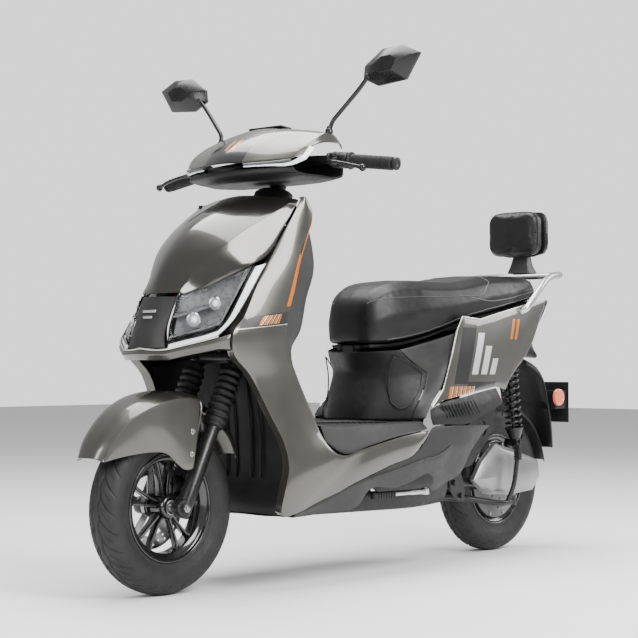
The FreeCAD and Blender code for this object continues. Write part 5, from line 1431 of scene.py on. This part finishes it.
def tyre_shape(centre):
    """A tyre whose tread is cut by wavy long grooves and curved sipes."""
    half = [Vector((0, 206, 0)), Vector((13, 204.9, 0)), Vector((25, 201.6, 0)), Vector((36, 193, 0)),
            Vector((42.6, 180, 0)), Vector((43.6, 170, 0)), Vector((40.5, 156, 0)), Vector((34.5, 143, 0)),
            Vector((32.6, 139, 0)), Vector((31.4, 134, 0)), Vector((29, 131, 0))]
    right = smooth_line(half, 6)
    profile = [(-p.x, p.y) for p in reversed(right[1:])] + [(p.x, p.y) for p in right]
    segments = TREAD_SEGMENTS
    middle = at(centre)
    rings = []
    for k in range(segments):
        angle = 2 * math.pi * k / segments
        ring = []
        for x, r in profile:
            cut = 0.0
            if r > 184:
                side = 1 if x >= 0 else -1
                reach = abs(x)
                wave = 9.0 + 2.6 * math.sin(SIPES * angle)
                cut = groove(reach - wave, 2.9)
                phase = SIPES * angle / (2 * math.pi) + side * 0.25 - 0.020 * max(0.0, reach - 9) ** 1.12
                near = (phase % 1.0) - 0.5
                width = 2 * math.pi * 206 / SIPES
                if reach > wave:
                    cut = max(cut, groove(near * width, 3.0))
                if 20 < reach < 33:
                    cut = max(cut, 0.8 * groove(((phase + 0.5) % 1.0 - 0.5) * width, 2.2))
            depth = TREAD_DEPTH * cut
            if abs(r - 150) < 3.0:
                depth -= 0.5
            r_here = r - depth
            ring.append(middle + Vector((x * MM, math.cos(angle) * r_here * MM,
                                         math.sin(angle) * r_here * MM)))
        inner = [(26, 132), (33, 156), (36, 172), (28, 188), (0, 197), (-28, 188), (-36, 172),
                 (-33, 156), (-26, 132)]
        for x, r in inner:
            ring.append(middle + Vector((x * MM, math.cos(angle) * r * MM, math.sin(angle) * r * MM)))
        rings.append(ring)
    rings.append(rings[0])
    return loft(rings, caps=False)


def build_tyres():
    for name, centre, body, node in (("front_tyre_tread", FRONT_AXLE, "front_wheel", "front_tyre"),
                                     ("rear_tyre_tread", REAR_AXLE, "rear_wheel", "rear_tyre")):
        tyre = piece(name, tyre_shape(centre), body, tyre_rubber, (node,), sharp=48)
        builder = bmesh.new()
        builder.from_mesh(tyre.data)
        bmesh.ops.remove_doubles(builder, verts=builder.verts, dist=0.00001)
        builder.to_mesh(tyre.data)
        builder.free()


def rim_barrel(centre):
    outline = [Vector((x, r, 0)) for x, r in (
        (-30.6, 130.4), (-31, 127), (-29, 125), (-25.5, 123.6), (-22, 116), (-17, 108.4), (17, 108.4),
        (22, 116),
        (25.5, 123.6), (29, 125), (31, 127), (30.6, 130.4))]
    profile = [(p.x, p.y) for p in smooth_line(outline, 3, (5, 6))]
    profile += [(28, 130.4), (26.5, 128.4), (14, 113), (-14, 113), (-26.5, 128.4), (-28, 130.4)]
    return lathe(centre, X_AXIS, profile, 120, closed=True)


def build_front_rim():
    hub = lathe(FRONT_AXLE, X_AXIS, ((-32, 6.2), (-32, 22), (-30, 26), (-22, 30), (-14, 25), (14, 25),
                                     (22, 30),
                                     (30, 26), (32, 22), (32, 6.2)), 60, closed=True)
    spokes = []
    for k in range(5):
        angle = math.radians(72 * k + 90)
        out = Vector((0, math.cos(angle), math.sin(angle)))
        across_out = Vector((0, -math.sin(angle), math.cos(angle)))
        for lean in (-1, 1):
            rings = []
            for reach, offset, wide, deep in ((24, 6.5, 4.6, 15), (42, 7.5, 3.8, 12.5), (66, 12, 3.8, 11),
                                              (88, 16.5, 4.2, 10), (109, 24, 6.0, 10)):
                mid = Vector(FRONT_AXLE) + out * reach + across_out * (offset * lean)
                rings.append([at(mid + across_out * (s * wide) + X_AXIS * (x * deep)) for s, x in
                              ((-1, -0.7), (-0.6, -1), (0.6, -1), (1, -0.7), (1, 0.7), (0.6, 1),
                               (-0.6, 1), (-1, 0.7))])
            lines = [smooth_line([ring[j] for ring in rings], 4) for j in range(8)]
            spokes.append(loft([list(ring) for ring in zip(*lines)]))
    valve = bar(((0, -690 + 36, 206 + 101), (9, -690 + 30, 206 + 84)), 2.6, 2, 10)
    piece("front_wheel_rim", merge(rim_barrel(FRONT_AXLE), hub, valve, *spokes), "front_wheel", rim_black,
          ("front_rim",), bevel=0.8)
    bearing = pair(lathe((32, -690, 206), X_AXIS, ((0, 6.2), (0, 17), (1, 17.6), (1.6, 16), (0.6, 14),
                                                   (0.6, 9), (1.6, 8),
                                                   (1.6, 6.2)), 40, closed=True))
    piece("front_hub_bearings", bearing, "front_wheel", steel)


def build_hub_motor():
    face = [(28, 112), (29.5, 110), (30, 100), (33, 92), (39, 74), (41, 66), (42, 40), (42, 10.3)]
    profile = [(-x, r) for x, r in reversed(face)] + face
    drum = lathe(REAR_AXLE, X_AXIS, profile, 120, closed=True)
    bolts, ribs = [], []
    for k in range(10):
        angle = 2 * math.pi * k / 10
        y = 610 + 104 * math.cos(angle)
        z = 206 + 104 * math.sin(angle)
        bolts.append(lathe((29.4, y, z), X_AXIS, ((0, 4.6), (2.2, 4.6), (3.0, 3.8), (3.0, 2.2),
                                                  (1.6, 2.0), (1.6, 0.3)), 14))
        a = Vector((36.6, 610 + 84 * math.cos(angle + 0.3), 206 + 84 * math.sin(angle + 0.3)))
        b = Vector((41.0, 610 + 52 * math.cos(angle + 0.3), 206 + 52 * math.sin(angle + 0.3)))
        ribs.append(bar((tuple(a), tuple(b)), 2.6, 2, 8))
    piece("hub_motor_wheel", merge(rim_barrel(REAR_AXLE), drum, pair(merge(*ribs))), "rear_wheel",
          rim_black,
          ("hub_motor",), bevel=0.6)
    piece("hub_motor_bolts", pair(merge(*bolts)), "rear_wheel", steel)


def build_caliper():
    block = [side_plate(((-622, 210), (-594, 206), (-584, 222), (-582, 262), (-596, 274), (-620, 270)),
                        x0, x1)
             for x0, x1 in ((-59.5, -45), (-38, -34.5))]
    bridge = side_plate(((-596, 214), (-584, 222), (-582, 262), (-594, 272)), -45.2, -37.8)
    bolts = [lathe((-58, y, z), (-1, 0, 0), ((0, 6), (1.4, 6), (1.8, 3.4), (1.0, 3.2), (1.0, 0.4)), 18)
             for y, z in ((-610, 226), (-604, 258))]
    lug = side_plate(((-650, 226), (-618, 232), (-618, 250), (-650, 256)), -59, -53.6)
    piece("brake_caliper_body", merge(*block, bridge, lug, *bolts), "fork_lower", frame_black,
          ("brake_caliper",), bevel=1.2)


# ---- rear suspension -----------------------------------------------------------------------
def build_swingarm():
    pivot = lathe((-100, 300, 215), X_AXIS, ((0, 8.2), (0, 18), (1.5, 19), (198.5, 19), (200, 18),
                                             (200, 8.2)), 40,
                  closed=True)
    parts = [pivot]
    for side in (-1, 1):
        parts.append(bar(((side * 80, 304, 215), (side * 80, 380, 212), (side * 88, 604, 206)), 16, 30, 20))
        parts.append(lathe((side * 88 - 12, 610, 206), X_AXIS,
                           ((0, 10.2), (0, 24.5), (1.5, 26), (22.5, 26), (24, 24.5),
                                                              (24, 10.2)), 40, closed=True))
        parts.append(bar(((side * 86, 592, 220), (side * 87, 586, 270), (side * 88, 581, 318)), 8.6, 20))
        parts.append(lathe((side * 94, 581, 318), Vector((side, 0, 0)),
                           ((-8, 0.5), (-8, 9), (0, 9), (1, 7.4), (4, 5),
                                                                        (43, 5), (44, 4), (44, 0.5)), 24))
    cross = bar(((-80, 372, 212), (80, 372, 212)), 12, 2, 18)
    piece("swingarm_tubes", merge(cross, *parts), "rear_arm", frame_black, ("swingarm",))
    rows = []
    for degrees in (70, 50, 30, 12):
        a = math.radians(degrees)
        out = Vector((0, math.cos(a), math.sin(a)))
        mid = Vector(REAR_AXLE) + out * 232
        rows.append(across([tuple(mid), tuple(mid + Vector((44, 0, 0)) - out * 4),
                            tuple(mid + Vector((62, 0, 0)) - out * 26)]))
    hugger = panel(rows, REAR_AXLE, 3.0)
    stays = [bar(((side * 60.5, 700, 330), (side * 84, 640, 280), (side * 94, 596, 240)), 4.4, 20)
             for side in (-1, 1)]
    piece("rear_hugger", merge(hugger, *stays), "rear_arm", black_plastic, bevel=1.0)
    hexagon = [(math.cos(math.radians(60 * k)) * 15, math.sin(math.radians(60 * k)) * 15) for k in range(6)]
    nuts = [side_plate([(610 + a, 206 + b) for a, b in hexagon], x, x + 7.4) for x in (-108, 100.4)]
    piece("rear_axle_nuts", merge(*nuts), "rear_arm", steel, bevel=1.0)


COVER_OUTLINE = ((372, 218), (430, 176), (540, 166), (662, 176), (700, 214), (690, 262), (560, 300),
                 (478, 318),
                 (410, 268))


def build_motor_cover():
    rings = []
    for x, s in ((107, 0.97), (108.5, 1.0), (122, 0.98), (136, 0.78), (141, 0.5)):
        rings.append([at((x, 540 + (y - 540) * s, 232 + (z - 232) * s)) for y, z in COVER_OUTLINE])
    piece("motor_side_cover", loft(rings), "rear_arm", dull_alloy, ("motor_cover",), bevel=4.0,
          sharp=40)


SHOCK_X = 117
SHOCK_TOP = Vector((0, 552, 545))
SHOCK_FOOT = Vector((0, 581, 318))
SHOCK_UP = (SHOCK_TOP - SHOCK_FOOT).normalized()
COILS = 8.5
WIRE_R = 4.0


def spring(base, length, radius):
    """A coil with closed ends."""
    side = SHOCK_UP.cross(X_AXIS).normalized()
    line = []
    turns = 24 * int(COILS) + 12
    for k in range(turns + 1):
        share = k / turns
        angle = 2 * math.pi * COILS * share
        rise = length * (3 * share ** 2 - 2 * share ** 3) * 0.25 + length * share * 0.75
        out = X_AXIS * math.cos(angle) + side * math.sin(angle)
        line.append(at(base + SHOCK_UP * rise + out * radius))
    return sweep(line, WIRE_R, 10)


def build_shocks():
    length = (SHOCK_TOP - SHOCK_FOOT).length - 26 - 42.5
    for side, tag in ((1, "left"), (-1, "right")):
        top = SHOCK_TOP + X_AXIS * (side * SHOCK_X)
        foot = SHOCK_FOOT + X_AXIS * (side * SHOCK_X)
        upper = merge(
            lathe(top - X_AXIS * 17, X_AXIS, ((0, 5.2), (0, 12), (1, 13), (33, 13), (34, 12),
                                              (34, 5.2)), 36, closed=True),
            lathe(top, -SHOCK_UP, ((6, 1), (8, 12), (16, 16), (19.5, 26), (20.5, 27), (25, 27),
                                   (26, 26), (26, 11.4),
                                   (120, 11), (138, 11), (140, 10), (140, 7.2), (60, 7.2)), 48))
        piece("shock_upper_" + tag, upper, "shock_upper", frame_black,
              ("shock_bodies",) if side > 0 else ())
        lower = merge(
            lathe(foot - X_AXIS * 15, X_AXIS, ((0, 5.2), (0, 12), (1, 13), (29, 13), (30, 12),
                                               (30, 5.2)), 36, closed=True),
            lathe(foot, SHOCK_UP, ((8, 1), (8, 14), (12, 16), (36, 24.6), (39, 27), (41, 27), (42, 26),
                                   (42, 12),
                                   (40, 5.6), (123, 5.5), (125, 1)), 48))
        piece("shock_lower_" + tag, lower, "shock_lower", frame_black,
              ("shock_rods",) if side > 0 else ())
        base = foot + SHOCK_UP * (42.2 + WIRE_R)
        coil = piece("shock_coil_" + tag, spring(base, length - 2 * WIRE_R, 21), "shock_upper", gloss_black,
                     ("shock_springs",), sharp=80)
        tuple(at(top - SHOCK_UP * 26))
        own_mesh(coil)


# ---- stand and pegs ------------------------------------------------------------------------
def build_stand():
    parts = [lathe((-100, 330, 178), X_AXIS, ((0, 7.2), (0, 11), (1, 12), (199, 12), (200, 11),
                                              (200, 7.2)), 32,
                   closed=True)]
    for side in (-1, 1):
        parts.append(bar(((side * 90, 332, 178), (side * 91, 368, 168), (side * 152, 460, 150),
                          (side * 152, 516, 152)),
                         8.6, 24))
        parts.append(lathe((side * 152, 516, 143), Z_AXIS,
                           ((0, 0.5), (0, 9.4), (1.6, 11), (25, 11), (27, 9.4), (27, 0.5)), 28))
    parts.append(bar(((-104, 380, 163), (104, 380, 163)), 7.6, 2))
    parts.append(bar(((152, 492, 152), (170, 500, 200), (174, 510, 276)), 6.8, 24))
    piece("center_stand_tubes", merge(*parts), "stand", frame_black, ("center_stand",))
    grooves = [side_plate(((503.4, 271 + 7 * k), (518.6, 271 + 7 * k), (518.6, 276 + 7 * k),
                           (503.4, 276 + 7 * k)),
                          165.4, 184.6) for k in range(6)]
    core = side_plate(((505, 271), (517, 271), (517, 313), (505, 313)), 167, 183)
    piece("stand_tread_pad", merge(core, *grooves), "stand", rubber, bevel=1.2)


def build_peg(side, body, name, node):
    x, y = 196, 62
    knuckle = lathe((x, y, 201), Z_AXIS, ((0, 3.8), (0, 9), (1, 10), (15, 10), (16, 9), (16, 3.8)), 28,
                    closed=True)
    pin = lathe((x, y, 201.5), Z_AXIS, ((0, 0.4), (0, 4), (32, 4), (33, 3), (33, 0.4)), 20)
    arm = side_plate(((y - 4, 203.6), (y - 4, 214.6), (y - 60, 214.6), (y - 74, 213), (y - 130, 213),
                      (y - 130, 205),
                      (y - 74, 205), (y - 60, 203.6)), x - 6.8, x + 6.8)
    parts = merge(knuckle, pin, arm)
    tread = [side_plate(((y - 208 + 10 * k, 200.4), (y - 201 + 10 * k, 200.4), (y - 201 + 10 * k, 217.6),
                         (y - 208 + 10 * k, 217.6)), x - 8.8, x + 8.8) for k in range(8)]
    core = side_plate(((y - 210, 202.4), (y - 131, 202.4), (y - 131, 215.6), (y - 210, 215.6)), x - 7,
                      x + 7)
    tip = lathe((x, y - 208, 200.6), Z_AXIS, ((0, 0.4), (0, 7.6), (1.4, 8.9), (16, 8.9), (17.2, 7.6),
                                              (17.2, 0.4)), 28)
    sleeve = merge(core, tip, *tread)
    if side < 0:
        parts, sleeve = mirror(parts), mirror(sleeve)
    piece(name, parts, body, alloy, (node,), bevel=1.6)
    piece(name + "_rubber", sleeve, body, rubber, bevel=1.2)


# ---- nodes that are shown as they are ------------------------------------------------------
SHOWN_NODES = {
    "frame_tubes": frame_black,
    "bearings_and_pins": frame_black,
    "battery_pack": dark_plastic,
    "controller": alloy,
    "storage_bucket": black_plastic,
    "brake_disc": steel,
}


def dress_nodes():
    for name, look in SHOWN_NODES.items():
        mesh = NODES[name].data
        mesh.materials.clear()
        mesh.materials.append(look)
        mesh.polygons.foreach_set("use_smooth", [True] * len(mesh.polygons))
        mesh.set_sharp_from_angle(angle=math.radians(32))


# ---- floor, light and camera ---------------------------------------------------------------
CAMERA_PLACE = Vector((2.932, -3.427, 0.543))
CAMERA_WAY = Vector((-0.6636, 0.7476, 0.0259))
CAMERA_LENS = 95.83


def stage_material(name, rgb, rough):
    made = bpy.data.materials.new(name)
    made.use_nodes = True
    shader = made.node_tree.nodes["Principled BSDF"]
    shader.inputs["Base Color"].default_value = rgb + (1,)
    shader.inputs["Roughness"].default_value = rough
    return made


def build_stage():
    half = 14.0
    mesh = bpy.data.meshes.new("floor")
    mesh.from_pydata([(-half, -half, 0), (half, -half, 0), (half, half, 0), (-half, half, 0)], [],
                     [(0, 1, 2, 3)])
    floor = bpy.data.objects.new("floor", mesh)
    mesh.materials.append(stage_material("pale_floor", (0.90, 0.90, 0.90), 0.6))
    bpy.context.scene.collection.objects.link(floor)
    world = bpy.data.worlds.new("studio")
    bpy.context.scene.world = world
    world.use_nodes = True
    tree = world.node_tree
    soft = tree.nodes["Background"]
    soft.inputs[0].default_value = (1.0, 1.0, 1.0, 1)
    soft.inputs[1].default_value = 0.55
    seen = tree.nodes.new("ShaderNodeBackground")
    seen.inputs[0].default_value = (1.0, 1.0, 1.0, 1)
    seen.inputs[1].default_value = 1.5
    path = tree.nodes.new("ShaderNodeLightPath")
    mix = tree.nodes.new("ShaderNodeMixShader")
    tree.links.new(path.outputs["Is Camera Ray"], mix.inputs[0])
    tree.links.new(soft.outputs[0], mix.inputs[1])
    tree.links.new(seen.outputs[0], mix.inputs[2])
    tree.links.new(mix.outputs[0], tree.nodes["World Output"].inputs[0])


def area_light(name, place, aim, size, power):
    lamp = bpy.data.lights.new(name, "AREA")
    lamp.shape = "RECTANGLE"
    lamp.size = size[0]
    lamp.size_y = size[1]
    lamp.energy = power
    obj = bpy.data.objects.new(name, lamp)
    obj.location = place
    obj.rotation_euler = (Vector(aim) - Vector(place)).to_track_quat("-Z", "Y").to_euler()
    bpy.context.scene.collection.objects.link(obj)


def build_lights():
    aim = (0, 0, 0.6)
    area_light("key_light", (3.4, -0.6, 3.0), aim, (1.6, 2.6), 260)
    area_light("front_light", (0.6, -4.4, 1.9), aim, (1.4, 1.8), 90)
    area_light("top_light", (-0.4, 0.2, 3.8), aim, (2.4, 3.6), 260)
    area_light("rear_light", (1.6, 3.6, 2.2), aim, (1.2, 1.8), 60)


def build_camera():
    lens = bpy.data.cameras.new("camera")
    lens.lens = CAMERA_LENS
    lens.sensor_width = 36.0
    camera = bpy.data.objects.new("camera", lens)
    camera.location = CAMERA_PLACE
    camera.rotation_euler = CAMERA_WAY.to_track_quat("-Z", "Y").to_euler()
    bpy.context.scene.collection.objects.link(camera)
    bpy.context.scene.camera = camera


build_hood()
build_side_shields()
build_headlights()
build_nose_plate()
build_light_bars()
build_front_lip()
build_liner()
build_inner_shield()
build_floorboard()
build_lower_covers()
build_pedestal()
build_tail_covers()
build_under_tail()
build_tail_light()
build_rear_mudguard()
build_grab_rail()
build_backrest()
build_backrest_pad()
build_seat()
build_seat_pan()
build_headset()
build_display()
build_handlebar()
build_grip(1, "steering", "handle_grip_left", "grip_left")
build_grip(-1, "throttle", "handle_grip_right", "throttle_grip")
build_switch_pods()
build_buttons()
for side, tag in ((1, "left"), (-1, "right")):
    build_lever(side, "lever_" + tag, "lever_blade_" + tag, "brake_lever_" + tag)
    build_mirror_stem(side, "mirror_arm_" + tag, "mirror_rod_" + tag, "mirror_stem_" + tag)
    build_mirror_head(side, "mirror_" + tag, "mirror_housing_" + tag, "mirror_head_" + tag)
    build_peg(side, "footpeg_" + tag, "footpeg_" + tag + "_arm", "peg_" + tag)
build_fork()
build_boots()
build_sliders()
build_front_fender()
build_tyres()
build_front_rim()
build_hub_motor()
build_caliper()
build_swingarm()
build_motor_cover()
build_shocks()
build_stand()
dress_nodes()
build_stage()
build_lights()
build_camera()
